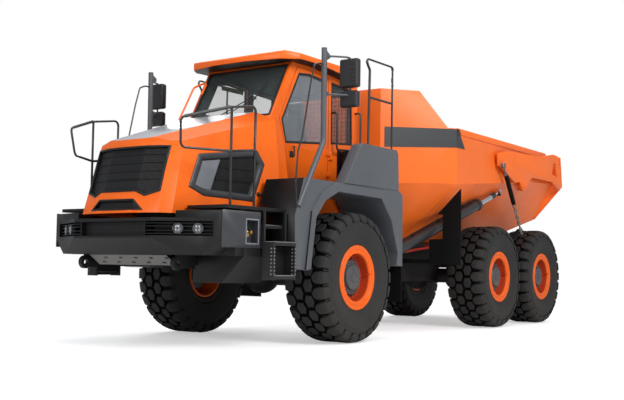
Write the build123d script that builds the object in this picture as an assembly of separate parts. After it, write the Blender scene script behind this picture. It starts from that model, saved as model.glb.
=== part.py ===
from build123d import *
import math
import os

# Articulated dump truck: front frame with cab, rear frame with two axles, tipping body.
# Frame: +X forward, +Y left, +Z up, millimetres. Origin on the ground at the centre of the
# overall box. Stations along the truck are written from the front axle and moved to that
# origin by st().

# ---------------------------------------------------------------- driving dimensions
OVERALL_LENGTH = 9700
FRONT_OVERHANG = 2700          # front axle to bumper face
WHEELBASE_MID = 4260           # front axle to middle axle
BOGIE_SPREAD = 1790            # middle axle to rear axle
PIVOT_BACK = 1500              # front axle to steering pivot, rearwards
TRACK = 2440

TYRE_RADIUS = 805
TYRE_WIDTH = 610
TYRE_SHOULDER = 60
RIM_SEAT_RADIUS = 318
RIM_FLANGE_RADIUS = 400
RIM_WALL = 26
RIM_DISC_THICKNESS = 34
RIM_DISC_INSET = 150           # disc plane inboard of the outer flange
HUB_RADIUS = 150
SPINDLE_RADIUS = 95
RUNNING_FIT = 0.05             # radial clearance of pins and spindles
MOVING_GAP = 8                 # least gap between pieces that move past each other

FRAME_RAIL_Y = 400             # centre of each chassis rail
FRAME_RAIL_WIDTH = 110
FRAME_RAIL_LOW = 840
FRAME_RAIL_HIGH = 1180

STEER_LIMIT = 45
TIP_LIMIT = 70


def st(x):
    """Station measured from the front axle, as a coordinate of the whole truck."""
    return x + OVERALL_LENGTH / 2 - FRONT_OVERHANG


# ---------------------------------------------------------------- small helpers
def block(x0, x1, y0, y1, z0, z1):
    return Pos((x0 + x1) / 2, (y0 + y1) / 2, (z0 + z1) / 2) * Box(abs(x1 - x0), abs(y1 - y0), abs(z1 - z0))


def prism_y(points, y0, y1):
    """Outline of (x, z) points drawn out from y0 to y1."""
    face = Plane.XZ.offset(-y0) * make_face(Polyline(*points, close=True))
    return extrude(face, -(y1 - y0))


def prism_x(points, x0, x1):
    """Outline of (y, z) points drawn out from x0 to x1."""
    face = Plane.YZ.offset(x0) * make_face(Polyline(*points, close=True))
    return extrude(face, x1 - x0)


def prism_z(points, z0, z1):
    """Outline of (x, y) points drawn out from z0 to z1."""
    face = Plane.XY.offset(z0) * make_face(Polyline(*points, close=True))
    return extrude(face, z1 - z0)


def rod_between(a, b, radius):
    """Round bar between two points."""
    start, end = Vector(*a), Vector(*b)
    axis = end - start
    plane = Plane(origin=start, z_dir=axis.normalized())
    return extrude(plane * Circle(radius), axis.length)


def cyl_y(x, z, y0, y1, radius):
    return rod_between((x, y0, z), (x, y1, z), radius)


def cyl_x(y, z, x0, x1, radius):
    return rod_between((x0, y, z), (x1, y, z), radius)


def cyl_z(x, y, z0, z1, radius):
    return rod_between((x, y, z0), (x, y, z1), radius)


def other_side(shape):
    return mirror(shape, about=Plane.XZ)


def both(shape):
    return shape + other_side(shape)


def tube_run(points, radius, bend=90):
    """Round tube through the points, bent on a tangent arc at each corner."""
    path = FilletPolyline(*points, radius=bend) if len(points) > 2 else Line(*points)
    start = path @ 0
    return sweep(Plane(origin=start, z_dir=path % 0) * Circle(radius), path=path)


def stations(points):
    """Outline of (station, z) points as coordinates of the whole truck."""
    return [(st(x), z) for x, z in points]


PARTS = {}


def save(name, shape):
    PARTS[name] = shape


# ---------------------------------------------------------------- wheels
AXLES = {"front": 0, "mid": -WHEELBASE_MID, "rear": -WHEELBASE_MID - BOGIE_SPREAD}


def wheel_profile(points):
    """Closed half-section of (radius, width) points, turned about the wheel's own axis (Y)."""
    face = Plane.XY * make_face(Polyline(*points, close=True))
    return revolve(face, Axis.Y)


def tyre(x, side):
    half = TYRE_WIDTH / 2
    outline = [
        (RIM_SEAT_RADIUS, -half + 75), (RIM_FLANGE_RADIUS + 5, -half + 60),
        (TYRE_RADIUS - 230, -half), (TYRE_RADIUS - 120, -half + 6),
        (TYRE_RADIUS - 22, -half + TYRE_SHOULDER), (TYRE_RADIUS, -half + 2.4 * TYRE_SHOULDER),
        (TYRE_RADIUS, half - 2.4 * TYRE_SHOULDER), (TYRE_RADIUS - 22, half - TYRE_SHOULDER),
        (TYRE_RADIUS - 120, half - 6), (TYRE_RADIUS - 230, half),
        (RIM_FLANGE_RADIUS + 5, half - 60), (RIM_SEAT_RADIUS, half - 75),
    ]
    return Pos(st(x), side * TRACK / 2, TYRE_RADIUS) * wheel_profile(outline)


RIM_HALF = TYRE_WIDTH / 2 - 75
SPINDLE_END = TRACK / 2 + RIM_HALF - RIM_DISC_INSET + 60


def rim(x, side):
    """Rim with its dished disc and planetary hub; the flange seats against the tyre's bead."""
    seat, flange = RIM_SEAT_RADIUS, RIM_FLANGE_RADIUS
    disc_out = RIM_HALF - RIM_DISC_INSET
    disc_in = disc_out - RIM_DISC_THICKNESS
    bore = SPINDLE_RADIUS + RUNNING_FIT
    outline = [
        (bore, disc_in - 120), (HUB_RADIUS + 60, disc_in - 120), (HUB_RADIUS + 60, disc_in),
        (seat - RIM_WALL, disc_in), (seat - RIM_WALL, -RIM_HALF), (seat, -RIM_HALF), (seat, RIM_HALF),
        (flange, RIM_HALF + 14.5), (flange, RIM_HALF + 32), (seat - RIM_WALL, RIM_HALF + 14),
        (seat - RIM_WALL, disc_out), (HUB_RADIUS + 12, disc_out), (HUB_RADIUS, disc_out + 95),
        (0, disc_out + 95), (0, disc_out + 65), (bore, disc_out + 65),
    ]
    turned = wheel_profile(outline)
    if side < 0:
        turned = mirror(turned, about=Plane.XZ)
    return Pos(st(x), side * TRACK / 2, TYRE_RADIUS) * turned


for axle_name, axle_x in AXLES.items():
    for side_name, side in (("left", 1), ("right", -1)):
        save(f"tyre_{axle_name}_{side_name}", tyre(axle_x, side))
        save(f"rim_{axle_name}_{side_name}", rim(axle_x, side))


AXLE_TUBE_RADIUS = 115


def axle(x, diff_radius=235):
    """Axle housing: banjo centre, tapered arms, spindles that carry the hubs."""
    spindle_start = TRACK / 2 + RIM_HALF - RIM_DISC_INSET - RIM_DISC_THICKNESS - 120 - MOVING_GAP
    arm = Pos(st(x), 0, TYRE_RADIUS) * Rot(90, 0, 0) * Cylinder(AXLE_TUBE_RADIUS, 2 * spindle_start)
    centre = Pos(st(x), 0, TYRE_RADIUS) * Sphere(diff_radius)
    ends = cyl_y(st(x), TYRE_RADIUS, -SPINDLE_END + 5, SPINDLE_END - 5, SPINDLE_RADIUS)
    nose = cyl_x(0, TYRE_RADIUS, st(x), st(x) + diff_radius + 60, 90)
    return arm + centre + ends + nose


for axle_name, axle_x in AXLES.items():
    save(f"axle_{axle_name}", axle(axle_x))

# ---------------------------------------------------------------- front frame
PIVOT_X = -PIVOT_BACK
YOKE_PLATE = 60
YOKE_LOW, YOKE_HIGH = 660, 1220
YOKE_BULKHEAD = 60
STEER_WINDOW_INNER = 300        # openings in the bulkhead that the steering cylinders pass through
STEER_WINDOW_HALF = 75
STEER_CYL_Z = 840
STEER_PIN_RADIUS = 65
RAIL_FRONT = 2240
RAIL_REAR = -780


def frame_rail(y, x0, x1, z0, z1):
    return block(st(x0), st(x1), y - FRAME_RAIL_WIDTH / 2, y + FRAME_RAIL_WIDTH / 2, z0, z1)


def front_frame():
    rail = frame_rail(FRAME_RAIL_Y, RAIL_REAR, RAIL_FRONT, FRAME_RAIL_LOW + 80, FRAME_RAIL_HIGH)
    body = both(rail)
    for x in (2180, 1250, 560, RAIL_REAR + 60):
        body += block(st(x) - 50, st(x) + 50, -FRAME_RAIL_Y, FRAME_RAIL_Y, FRAME_RAIL_LOW + 120, FRAME_RAIL_HIGH - 40)
    # seats for the axle housing, as wide as the rails
    seat = frame_rail(FRAME_RAIL_Y, -170, 170, TYRE_RADIUS, FRAME_RAIL_LOW + 100)
    return body + both(seat - cyl_y(st(0), TYRE_RADIUS, FRAME_RAIL_Y - 100, FRAME_RAIL_Y + 100, AXLE_TUBE_RADIUS))


def steering_yoke():
    """Bulkhead across the rails' rear ends, with the two plates that hold the steering pivot."""
    rear_face = RAIL_REAR - YOKE_BULKHEAD / 2
    inner = FRAME_RAIL_Y + FRAME_RAIL_WIDTH / 2
    body = block(st(RAIL_REAR) - YOKE_BULKHEAD, st(RAIL_REAR), -inner, inner, YOKE_LOW, YOKE_HIGH)
    window = block(st(RAIL_REAR) - 2 * YOKE_BULKHEAD, st(RAIL_REAR) + 20, STEER_WINDOW_INNER, inner + 10,
                   STEER_CYL_Z - STEER_WINDOW_HALF, STEER_CYL_Z + STEER_WINDOW_HALF)
    body -= both(window)
    for z0 in (YOKE_LOW, YOKE_HIGH - YOKE_PLATE):
        outline = [(st(rear_face), -inner), (st(rear_face), inner), (st(PIVOT_X) + 20, 150), (st(PIVOT_X) + 20, -150)]
        body += prism_z(outline, z0, z0 + YOKE_PLATE) + cyl_z(st(PIVOT_X), 0, z0, z0 + YOKE_PLATE, 150)
    # rear outriggers, which reach the fenders behind the cab
    arm = block(st(-1120), st(RAIL_REAR) - 10, FRAME_RAIL_Y - 50, FRAME_RAIL_Y + 50, YOKE_HIGH - YOKE_PLATE, YOKE_HIGH)
    arm += block(st(-1120), st(-1020), FRAME_RAIL_Y - 60, FRAME_RAIL_Y + 60, YOKE_HIGH - YOKE_PLATE, 1590)
    body += both(arm + block(st(-1120), st(-1020), FRAME_RAIL_Y, 1300, 1450, 1590))
    return body - cyl_z(st(PIVOT_X), 0, YOKE_LOW - 10, YOKE_HIGH + 10, STEER_PIN_RADIUS + RUNNING_FIT)


save("front_frame", front_frame())
save("steering_yoke", steering_yoke())

# hitch: carries the vertical pins in front and the rolling journal behind
HITCH_BACK = PIVOT_X - 210
JOURNAL_RADIUS = 130
JOURNAL_END = PIVOT_X - 620
JOURNAL_Z = (YOKE_LOW + YOKE_HIGH) / 2


def hitch():
    low, high = YOKE_LOW + YOKE_PLATE + MOVING_GAP, YOKE_HIGH - YOKE_PLATE - MOVING_GAP
    body = cyl_z(st(PIVOT_X), 0, low, high, 135)
    body += block(st(HITCH_BACK), st(PIVOT_X), -135, 135, low + 40, high - 40)
    body += cyl_z(st(PIVOT_X), 0, YOKE_LOW - 20, YOKE_HIGH + 20, STEER_PIN_RADIUS)
    body += cyl_x(0, JOURNAL_Z, st(HITCH_BACK), st(HITCH_BACK) - 60, 190)
    body += cyl_x(0, JOURNAL_Z, st(HITCH_BACK), st(JOURNAL_END), JOURNAL_RADIUS)
    return body


save("hitch", hitch())

# ---------------------------------------------------------------- rear frame
REAR_RAIL_FRONT = -2250
REAR_RAIL_END = -6520
REAR_RAIL_LOW, REAR_RAIL_HIGH = 935, 1230
BULKHEAD_X = -1860
TIP_PIN_X, TIP_PIN_Z = -6400, 1270
TIP_PIN_RADIUS = 60
TIP_EAR_Y = 560
HOIST_LOW = (-1960, 740, 1090)
HOIST_HIGH = (-4446, 1377, 2170)
TRUNNION_X = -WHEELBASE_MID - BOGIE_SPREAD / 2


def rear_frame():
    inner = FRAME_RAIL_Y + FRAME_RAIL_WIDTH / 2
    body = both(frame_rail(FRAME_RAIL_Y, REAR_RAIL_END, REAR_RAIL_FRONT, REAR_RAIL_LOW, REAR_RAIL_HIGH))
    # front box with the bearing for the rolling journal
    nose = prism_z([(st(BULKHEAD_X), -250), (st(BULKHEAD_X), 250), (st(REAR_RAIL_FRONT) - 40, inner),
                    (st(REAR_RAIL_FRONT) - 40, -inner)], 700, REAR_RAIL_HIGH)
    nose -= block(st(BULKHEAD_X) - 130, st(REAR_RAIL_FRONT) + 30, -200, 200, 1100, REAR_RAIL_HIGH + 10)
    body += nose
    body -= cyl_x(0, JOURNAL_Z, st(BULKHEAD_X) + 10, st(JOURNAL_END) - 20, JOURNAL_RADIUS + RUNNING_FIT)
    for x in (-3300, TRUNNION_X, REAR_RAIL_END + 60):
        body += block(st(x) - 60, st(x) + 60, -FRAME_RAIL_Y, FRAME_RAIL_Y, REAR_RAIL_LOW + 60, REAR_RAIL_HIGH - 60)
    # deepened web between the mudguards and the middle axle
    body += both(prism_y([(st(-2960), REAR_RAIL_LOW + 20), (st(-4120), REAR_RAIL_LOW + 20), (st(-4080), 720), (st(-3060), 720)],
                         FRAME_RAIL_Y - FRAME_RAIL_WIDTH / 2 + 20, FRAME_RAIL_Y + FRAME_RAIL_WIDTH / 2))
    # ears of the tip pin
    y0 = TIP_EAR_Y - 130
    ear = cyl_y(st(TIP_PIN_X), TIP_PIN_Z, y0 - 60, y0, 110)
    ear += block(st(TIP_PIN_X) - 110, st(TIP_PIN_X) + 110, y0 - 60, y0, REAR_RAIL_HIGH - 60, TIP_PIN_Z)
    body += both(ear)
    body -= cyl_y(st(TIP_PIN_X), TIP_PIN_Z, -700, 700, TIP_PIN_RADIUS + RUNNING_FIT)
    # trunnion that carries the walking beams
    body += cyl_y(st(TRUNNION_X), TYRE_RADIUS, -760, 760, 90)
    body += both(block(st(TRUNNION_X) - 150, st(TRUNNION_X) + 150, FRAME_RAIL_Y - 50, FRAME_RAIL_Y + 50,
                       TYRE_RADIUS - 80, REAR_RAIL_LOW + 20))
    return body


save("rear_frame", rear_frame())


def walking_beam(side):
    """Beam that joins the two rear axles of one side, hung on the trunnion."""
    y0, y1 = 590, 700
    x_mid, x_rear = AXLES["mid"], AXLES["rear"]
    outline = [(st(x_mid) + 150, TYRE_RADIUS - 60), (st(x_mid) + 150, TYRE_RADIUS + 60), (st(TRUNNION_X), TYRE_RADIUS + 190),
               (st(x_rear) - 150, TYRE_RADIUS + 60), (st(x_rear) - 150, TYRE_RADIUS - 60), (st(TRUNNION_X), TYRE_RADIUS - 150)]
    beam = prism_y(outline, y0, y1)
    for x in (x_mid, x_rear):
        beam += cyl_y(st(x), TYRE_RADIUS, y0, y1, 175)
        beam -= cyl_y(st(x), TYRE_RADIUS, y0 - 5, y1 + 5, AXLE_TUBE_RADIUS)
    beam -= cyl_y(st(TRUNNION_X), TYRE_RADIUS, y0 - 5, y1 + 5, 90)
    return beam if side > 0 else other_side(beam)


save("walking_beams", walking_beam(1) + walking_beam(-1))

# ---------------------------------------------------------------- body (dump bed)
BED_TOP = 3010
GUARD_TOP = 3530
BED_WALL = 30
BED_RIM = 18                    # how far the rim stands out on each side of the wall
BED_RIM_DEPTH = 90
BED_FRONT = -1820
BED_REST_GAP = MOVING_GAP
# columns: station, half width of the top, height of the side's lower edge, half width of the floor, floor height
BED_SECTIONS = [
    (BED_FRONT, 700, 2150, 480, 1960),
    (-2450, 1195, 2175, 470, 1350),
    (-2775, 1450, 2178, 470, 1350),
    (-5500, 1425, 2420, 470, 1350),
    (-6850, 1385, 2500, 1000, 1840),
]


def bed_form(inset, floor_lift, front_shift, top):
    """V-shaped body between its section table's stations, drawn in by inset on every side."""
    faces = []
    last = len(BED_SECTIONS) - 1
    for i, (x, wide, z_side, floor_wide, z_floor) in enumerate(BED_SECTIONS):
        shift = -front_shift if i == 0 else (-front_shift if i == 1 else (-60 if (i == last and inset) else 0))
        w, f = wide - inset, floor_wide - inset * 0.4
        points = [(-w, top), (-w, z_side + inset * 0.4), (-f, z_floor + floor_lift), (f, z_floor + floor_lift),
                  (w, z_side + inset * 0.4), (w, top)]
        faces.append(Plane.YZ.offset(st(x + shift)) * make_face(Polyline(*points, close=True)))
    return loft(faces, ruled=True)


def bed():
    outer = bed_form(0, 0, 0, GUARD_TOP)
    inner = bed_form(BED_WALL, BED_WALL, BED_WALL + 10, GUARD_TOP + 60)
    body = outer - inner
    above = prism_y([(st(-2300), GUARD_TOP + 80), (st(-2300), GUARD_TOP), (st(-2660), BED_TOP), (st(-7100), BED_TOP),
                     (st(-7100), GUARD_TOP + 80)], -1600, 1600)
    body -= above
    # rolled rim along the top of the side walls
    rim_plan = [(st(x), wide + BED_RIM) for x, wide, *_ in BED_SECTIONS[2:]]
    rim_plan += [(st(x), wide - BED_WALL - BED_RIM) for x, wide, *_ in reversed(BED_SECTIONS[2:])]
    body += both(prism_z(rim_plan, BED_TOP - BED_RIM_DEPTH, BED_TOP))
    # the side walls slope at the tail, inside the tailgate's swing
    body -= prism_y([(st(-6400), BED_TOP + 5), (st(-6850), 2480), (st(-6950), 2480), (st(-6950), BED_TOP + 5)], -1600, 1600)
    # knees and ears of the tip pin under the floor
    y0 = TIP_EAR_Y - 90
    ear = prism_y([(st(TIP_PIN_X) - 130, TIP_PIN_Z), (st(TIP_PIN_X) + 130, TIP_PIN_Z), (st(TIP_PIN_X) + 260, 1640),
                   (st(TIP_PIN_X) - 130, 1700)], y0, y0 + 60)
    ear += cyl_y(st(TIP_PIN_X), TIP_PIN_Z, y0, y0 + 60, 130)
    ear += cyl_y(st(TIP_PIN_X), TIP_PIN_Z, y0 - 130, y0 + 60, TIP_PIN_RADIUS)
    return body + both(ear)


save("dump_bed", bed())


BED_TAIL = BED_SECTIONS[-1][0]

# ---------------------------------------------------------------- tailgate and its chains
GATE_ARM_Y = 1475
GATE_PLATE = 30
GATE_PIVOT = (-5166, 2333)
GATE_PIN_RADIUS = 45
GATE_GAP = 14
CHAIN_HIGH = (-4206, GATE_ARM_Y + 85, 2614)
CHAIN_LOW = (TRUNNION_X - 55, 1450, 1557)      # between the bogie's tyres, behind its pivot
CHAIN_RADIUS = 26


def gate_arm():
    outline = [(-4140, 2773), (-4170, 2580), (-4250, 2570), (-4826, 2356), (-5041, 2380), (-5100, 2260),
               (-5230, 2260), (-5552, 2502), (-6515, 2502), (-6880, 2369), (-7000, 2472), (-6790, 2993),
               (-6560, 3003), (-5956, 2905), (-4500, 2850)]
    arm = prism_y([(st(x), z) for x, z in outline], GATE_ARM_Y, GATE_ARM_Y + GATE_PLATE)
    window = [(-6500, 2640), (-6760, 2600), (-6680, 2850), (-6560, 2850)]
    arm -= prism_y([(st(x), z) for x, z in window], GATE_ARM_Y - 10, GATE_ARM_Y + GATE_PLATE + 10)
    x, z = GATE_PIVOT
    arm += cyl_y(st(x), z, GATE_ARM_Y, GATE_ARM_Y + 50, 95)
    arm -= cyl_y(st(x), z, GATE_ARM_Y - 10, GATE_ARM_Y + 60, GATE_PIN_RADIUS + RUNNING_FIT)
    return arm


def tailgate():
    low = BED_TAIL - GATE_GAP
    panel = prism_y([(st(-6885), 2985), (st(-6985), 2480), (st(low), 1850), (st(low) - 40, 1850), (st(-7000), 2440),
                     (st(-7000), 2480), (st(-6925), 2985)], -GATE_ARM_Y - GATE_PLATE, GATE_ARM_Y + GATE_PLATE)
    mask = prism_x([(-GATE_ARM_Y - GATE_PLATE, 3000), (-GATE_ARM_Y - GATE_PLATE, 2440), (-1010, 1850), (1010, 1850),
                    (GATE_ARM_Y + GATE_PLATE, 2440), (GATE_ARM_Y + GATE_PLATE, 3000)], st(-7100), st(-6500))
    return (panel & mask) + both(gate_arm())


save("tailgate", tailgate())


def gate_pins():
    x, z = GATE_PIVOT
    pin = cyl_y(st(x), z, 1410, GATE_ARM_Y + 65, GATE_PIN_RADIUS) + cyl_y(st(x), z, 1405, GATE_ARM_Y - MOVING_GAP, 80)
    return both(pin)


def gate_chain(side):
    lower, upper = Vector(st(CHAIN_LOW[0]), CHAIN_LOW[1], CHAIN_LOW[2]), Vector(st(CHAIN_HIGH[0]), CHAIN_HIGH[1], CHAIN_HIGH[2])
    reach = upper - lower
    upper = lower + reach * (1 - 40 / reach.length)
    bar = rod_between(tuple(lower), tuple(upper), CHAIN_RADIUS)
    bar += cyl_y(lower.X, lower.Z, lower.Y - 20, lower.Y + 20, 50)
    bar -= cyl_y(lower.X, lower.Z, lower.Y - 40, lower.Y + 40, 22 + RUNNING_FIT)
    return bar if side > 0 else other_side(bar)


def chain_pins():
    x, y, z = CHAIN_LOW
    pin = cyl_y(st(x), z, y - 60, y + 30, 22)
    pin += prism_x([(y - 60, z + 45), (y - 28, z + 45), (y - 28, z - 60), (FRAME_RAIL_Y, 1010), (FRAME_RAIL_Y, 1130),
                    (y - 100, z - 20)], st(x) - 45, st(x) + 45)
    return both(pin)


# ---------------------------------------------------------------- hoists
HOIST_BARREL_RADIUS = 82
HOIST_ROD_RADIUS = 48
HOIST_EYE_RADIUS = 72
HOIST_PIN_RADIUS = 35
HOIST_BALL_RADIUS = 56          # ball of the barrel's spherical bearing
HOIST_BORE_RADIUS = 44          # bore beside the ball, wide enough for the barrel to swing
HOIST_ROD_EYE_RADIUS = 55
HOIST_BARREL_SHARE = 0.80


def cylinder_axis(low, high):
    a, b = Vector(st(low[0]), low[1], low[2]), Vector(st(high[0]), high[1], high[2])
    return a, b, (b - a).normalized(), (b - a).length


EYE_HALF = 50
ROD_EYE_HALF = 25
ROD_NECK_RADIUS = 22            # the rod is necked to its eye's thickness
LUG_THICKNESS = 35


def hoist_barrel(side):
    a, b, along, length = cylinder_axis(HOIST_LOW, HOIST_HIGH)
    end = a + along * (length * HOIST_BARREL_SHARE)
    tube = rod_between(tuple(a + along * 110), tuple(end), HOIST_BARREL_RADIUS)
    tube += rod_between(tuple(a + along * 30), tuple(a + along * 120), 44)
    tube += rod_between(tuple(end - along * 60), tuple(end), HOIST_BARREL_RADIUS + 12)
    tube += cyl_y(a.X, a.Z, a.Y - EYE_HALF, a.Y + EYE_HALF, HOIST_EYE_RADIUS)
    tube -= cyl_y(a.X, a.Z, a.Y - EYE_HALF - 5, a.Y + EYE_HALF + 5, HOIST_BORE_RADIUS)
    tube -= Pos(a.X, a.Y, a.Z) * Sphere(HOIST_BALL_RADIUS + RUNNING_FIT)
    tube -= rod_between(tuple(a + along * 160), tuple(end + along * 20), HOIST_ROD_RADIUS + RUNNING_FIT)
    return tube if side > 0 else other_side(tube)


def hoist_rod(side):
    """Rod with its eye, which stops beside the body's lug; a full rod is necked at the eye."""
    a, b, along, length = cylinder_axis(HOIST_LOW, HOIST_HIGH)
    tube = rod_between(tuple(a + along * 200), tuple(b - along * 170), HOIST_ROD_RADIUS)
    tube += rod_between(tuple(b - along * 180), tuple(b - along * 30), ROD_NECK_RADIUS)
    tube += cyl_y(b.X, b.Z, b.Y - ROD_EYE_HALF, b.Y + ROD_EYE_HALF, HOIST_ROD_EYE_RADIUS)
    return tube if side > 0 else other_side(tube)


def hoist_frame_pin():
    """Lug beside the barrel's eye, on the outrigger that reaches it from the front box."""
    x, y, z = HOIST_LOW
    lug_out = y - EYE_HALF - MOVING_GAP
    lug = cyl_y(st(x), z, lug_out - LUG_THICKNESS, lug_out, 85)
    rigger = prism_z([(st(x) + 60, 230), (st(x) + 60, lug_out), (st(x) - 70, lug_out), (st(REAR_RAIL_FRONT) - 90, 455),
                      (st(REAR_RAIL_FRONT) - 90, 380), (st(x) - 60, 230)], z - 60, z + 60)
    pin = cyl_y(st(x), z, lug_out - 20, y + EYE_HALF + 14, HOIST_PIN_RADIUS)
    return both(lug + rigger + pin + Pos(st(x), y, z) * Sphere(HOIST_BALL_RADIUS))


def hoist_body_lug():
    """Lug under the body's knuckle, inboard of the rod's eye."""
    x, y, z = HOIST_HIGH
    lug_out = y - ROD_EYE_HALF - MOVING_GAP
    outline = [(st(x) - 120, z + 40), (st(x) + 60, z + 40), (st(x) + 10, z - 45), (st(x) - 60, z - 45)]
    return both(prism_y(outline, lug_out - LUG_THICKNESS, lug_out))


for side_name, side in (("left", 1), ("right", -1)):
    save(f"hoist_barrel_{side_name}", hoist_barrel(side))
    save(f"hoist_rod_{side_name}", hoist_rod(side))
    save(f"gate_chain_{side_name}", gate_chain(side))

# ---------------------------------------------------------------- steering cylinders
STEER_FIXED = (-300, 560, STEER_CYL_Z)      # eye on the front frame
STEER_MOVING = (-1690, 400, STEER_CYL_Z)    # eye on the hitch
STEER_BARREL_RADIUS = 55
STEER_BARREL_END = 900
STEER_ROD_START = 500
STEER_ROD_RADIUS = 30
STEER_EYE_RADIUS = 55
STEER_EYE_HALF = 30
STEER_EYE_PIN = 25


def steer_barrel(side):
    a, b, along, length = cylinder_axis(STEER_FIXED, STEER_MOVING)
    end = a + along * STEER_BARREL_END
    tube = rod_between(tuple(a + along * 95), tuple(end), STEER_BARREL_RADIUS)
    tube += rod_between(tuple(a + along * 20), tuple(a + along * 100), 28)
    tube += cyl_z(a.X, a.Y, a.Z - STEER_EYE_HALF, a.Z + STEER_EYE_HALF, STEER_EYE_RADIUS)
    tube -= cyl_z(a.X, a.Y, a.Z - 60, a.Z + 60, STEER_EYE_PIN + RUNNING_FIT)
    tube -= rod_between(tuple(a + along * 130), tuple(end + along * 20), STEER_ROD_RADIUS + RUNNING_FIT)
    return tube if side > 0 else other_side(tube)


def steer_rod(side):
    """Rod with its eye; the pin is carried in the eye, between the hitch's lugs."""
    a, b, along, length = cylinder_axis(STEER_FIXED, STEER_MOVING)
    tube = rod_between(tuple(a + along * STEER_ROD_START), tuple(b - along * 20), STEER_ROD_RADIUS)
    tube += cyl_z(b.X, b.Y, b.Z - STEER_EYE_HALF, b.Z + STEER_EYE_HALF, STEER_EYE_RADIUS)
    return tube if side > 0 else other_side(tube)


def steer_lugs(place, inner_y, pin):
    x, y, z = st(place[0]), place[1], place[2]
    gap = STEER_EYE_HALF + MOVING_GAP
    lugs = block(x - 60, x + 60, inner_y, inner_y + 55, z - gap - 47, z + gap + 47)
    for z0 in (z - gap - 47, z + gap):
        lugs += cyl_z(x, y, z0, z0 + 47, 60) + block(x - 60, x + 60, inner_y, y, z0, z0 + 47)
    if pin:
        lugs += cyl_z(x, y, z - gap - 47, z + gap + 47, STEER_EYE_PIN)
    return both(lugs)


for side_name, side in (("left", 1), ("right", -1)):
    save(f"steer_barrel_{side_name}", steer_barrel(side))
    save(f"steer_rod_{side_name}", steer_rod(side))

# brackets go onto the pieces that carry them
PARTS["front_frame"] += steer_lugs(STEER_FIXED, FRAME_RAIL_Y, True)
PARTS["hitch"] += steer_lugs(STEER_MOVING, 110, False)
PARTS["rear_frame"] += hoist_frame_pin() + chain_pins()
PARTS["dump_bed"] += gate_pins() + hoist_body_lug()

# transverse mudguards ahead of the middle wheels, on outriggers of the rear frame
MUDGUARD_X = -2925


def mudguards():
    plate = prism_x([(1450, 2120), (1450, 981), (1150, 981), (1150, 1740), (1060, 1740)],
                    st(MUDGUARD_X) - 10, st(MUDGUARD_X) + 10)
    arm = block(st(MUDGUARD_X) - 70, st(MUDGUARD_X) - 10, FRAME_RAIL_Y + 55, 1400, 1000, 1060)
    return both(plate + arm)


save("mudguards", mudguards())


def tail_lamps():
    return both(block(st(REAR_RAIL_END) - 160, st(REAR_RAIL_END), FRAME_RAIL_Y - 130, FRAME_RAIL_Y + 50, 960, 1060))


save("tail_lamps", tail_lamps())

# ---------------------------------------------------------------- bonnet
CAB_HALF = 690                  # half width of the cab, which the bonnet and the fenders stand clear of
BONNET_SIDE = CAB_HALF + 160    # half width of the bonnet's rear edge
HOOD_REAR_LOW, HOOD_REAR_HIGH = 702, 943        # rear edge, at the two plan heights
HOOD_WALL = 30
HOOD_HINGE = (2665, 1462)
# columns: height, rear edge, half width there, side corner (x, y), nose corner, centre corner
HOOD_PLANS = [
    (1489, HOOD_REAR_LOW, BONNET_SIDE, (2470, 680), (2590, 590), (2680, 250)),
    (2940, HOOD_REAR_HIGH, BONNET_SIDE, (2090, 600), (2198, 500), (2290, 250)),
]
# columns: station, half width and height of the shoulder, half width and height of the crown
HOOD_TOPS = [
    (2740, 720, 2110, 290, 2238),
    (700, BONNET_SIDE + 78, 2724, 594, 2880),
]


def hood_form(inset):
    """Tapering walls under a crowned top, both drawn in by inset; open at the rear when inset."""
    plans = []
    for z, rear_x, rear, side_corner, nose_corner, centre_corner in HOOD_PLANS:
        half = [
            (rear_x - (50 if inset else 0), rear - inset),
            (side_corner[0] - inset * 0.3, side_corner[1] - inset),
            (nose_corner[0] - inset * 0.8, nose_corner[1] - inset * 0.8),
            (centre_corner[0] - inset, centre_corner[1]),
        ]
        points = [(st(x), y) for x, y in half] + [(st(x), -y) for x, y in reversed(half)]
        below = 20 if inset and z < 2000 else 0
        plans.append(Plane.XY.offset(z - below) * make_face(Polyline(*points, close=True)))
    tops = []
    for x, wide, z_side, crown, z_crown in HOOD_TOPS:
        roof = [(wide, z_side - inset), (crown, z_crown - inset)]
        points = [(wide, 1400)] + roof + [(-y, z) for y, z in reversed(roof)] + [(-wide, 1400)]
        tops.append(Plane.YZ.offset(st(x)) * make_face(Polyline(*points, close=True)))
    return loft(plans, ruled=True) & loft(tops, ruled=True)


INTAKE = [(2183, 1809), (2040, 2144), (1190, 2262), (1087, 2128), (1250, 1713), (1999, 1734)]
GRILLE = [(-545, 2228), (545, 2228), (552, 1734), (387, 1684), (270, 1735), (-270, 1735), (-387, 1684), (-552, 1734)]
LOWER_GRILLE = [(-260, 1631), (260, 1631), (375, 1529), (-375, 1529)]


def scaled(points, amount):
    """Outline drawn in towards its centre by about the amount."""
    cx = sum(p[0] for p in points) / len(points)
    cy = sum(p[1] for p in points) / len(points)
    return [(x - math.copysign(amount, x - cx), y - math.copysign(amount, y - cy)) for x, y in points]


def bonnet():
    shell = hood_form(0) - hood_form(HOOD_WALL)
    openings = prism_y([(st(x), z) for x, z in INTAKE], -1000, 1000)
    openings += prism_x(GRILLE, st(2350), st(2800)) + prism_x(LOWER_GRILLE, st(2350), st(2800))
    return shell - openings


def bonnet_grilles():
    skin = hood_form(22) - hood_form(HOOD_WALL + 24)
    front = prism_x(scaled(GRILLE, -12), st(2330), st(2800)) + prism_x(scaled(LOWER_GRILLE, -12), st(2330), st(2800))
    sides = prism_y([(st(x), z) for x, z in scaled(INTAKE, -12)], -1000, 1000)
    return skin & (front + sides)


save("bonnet", bonnet())
save("bonnet_grilles", bonnet_grilles() - PARTS["bonnet"])

save("engine_block", block(st(1000), st(2000), -320, 320, FRAME_RAIL_HIGH - 40, 2050))

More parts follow.
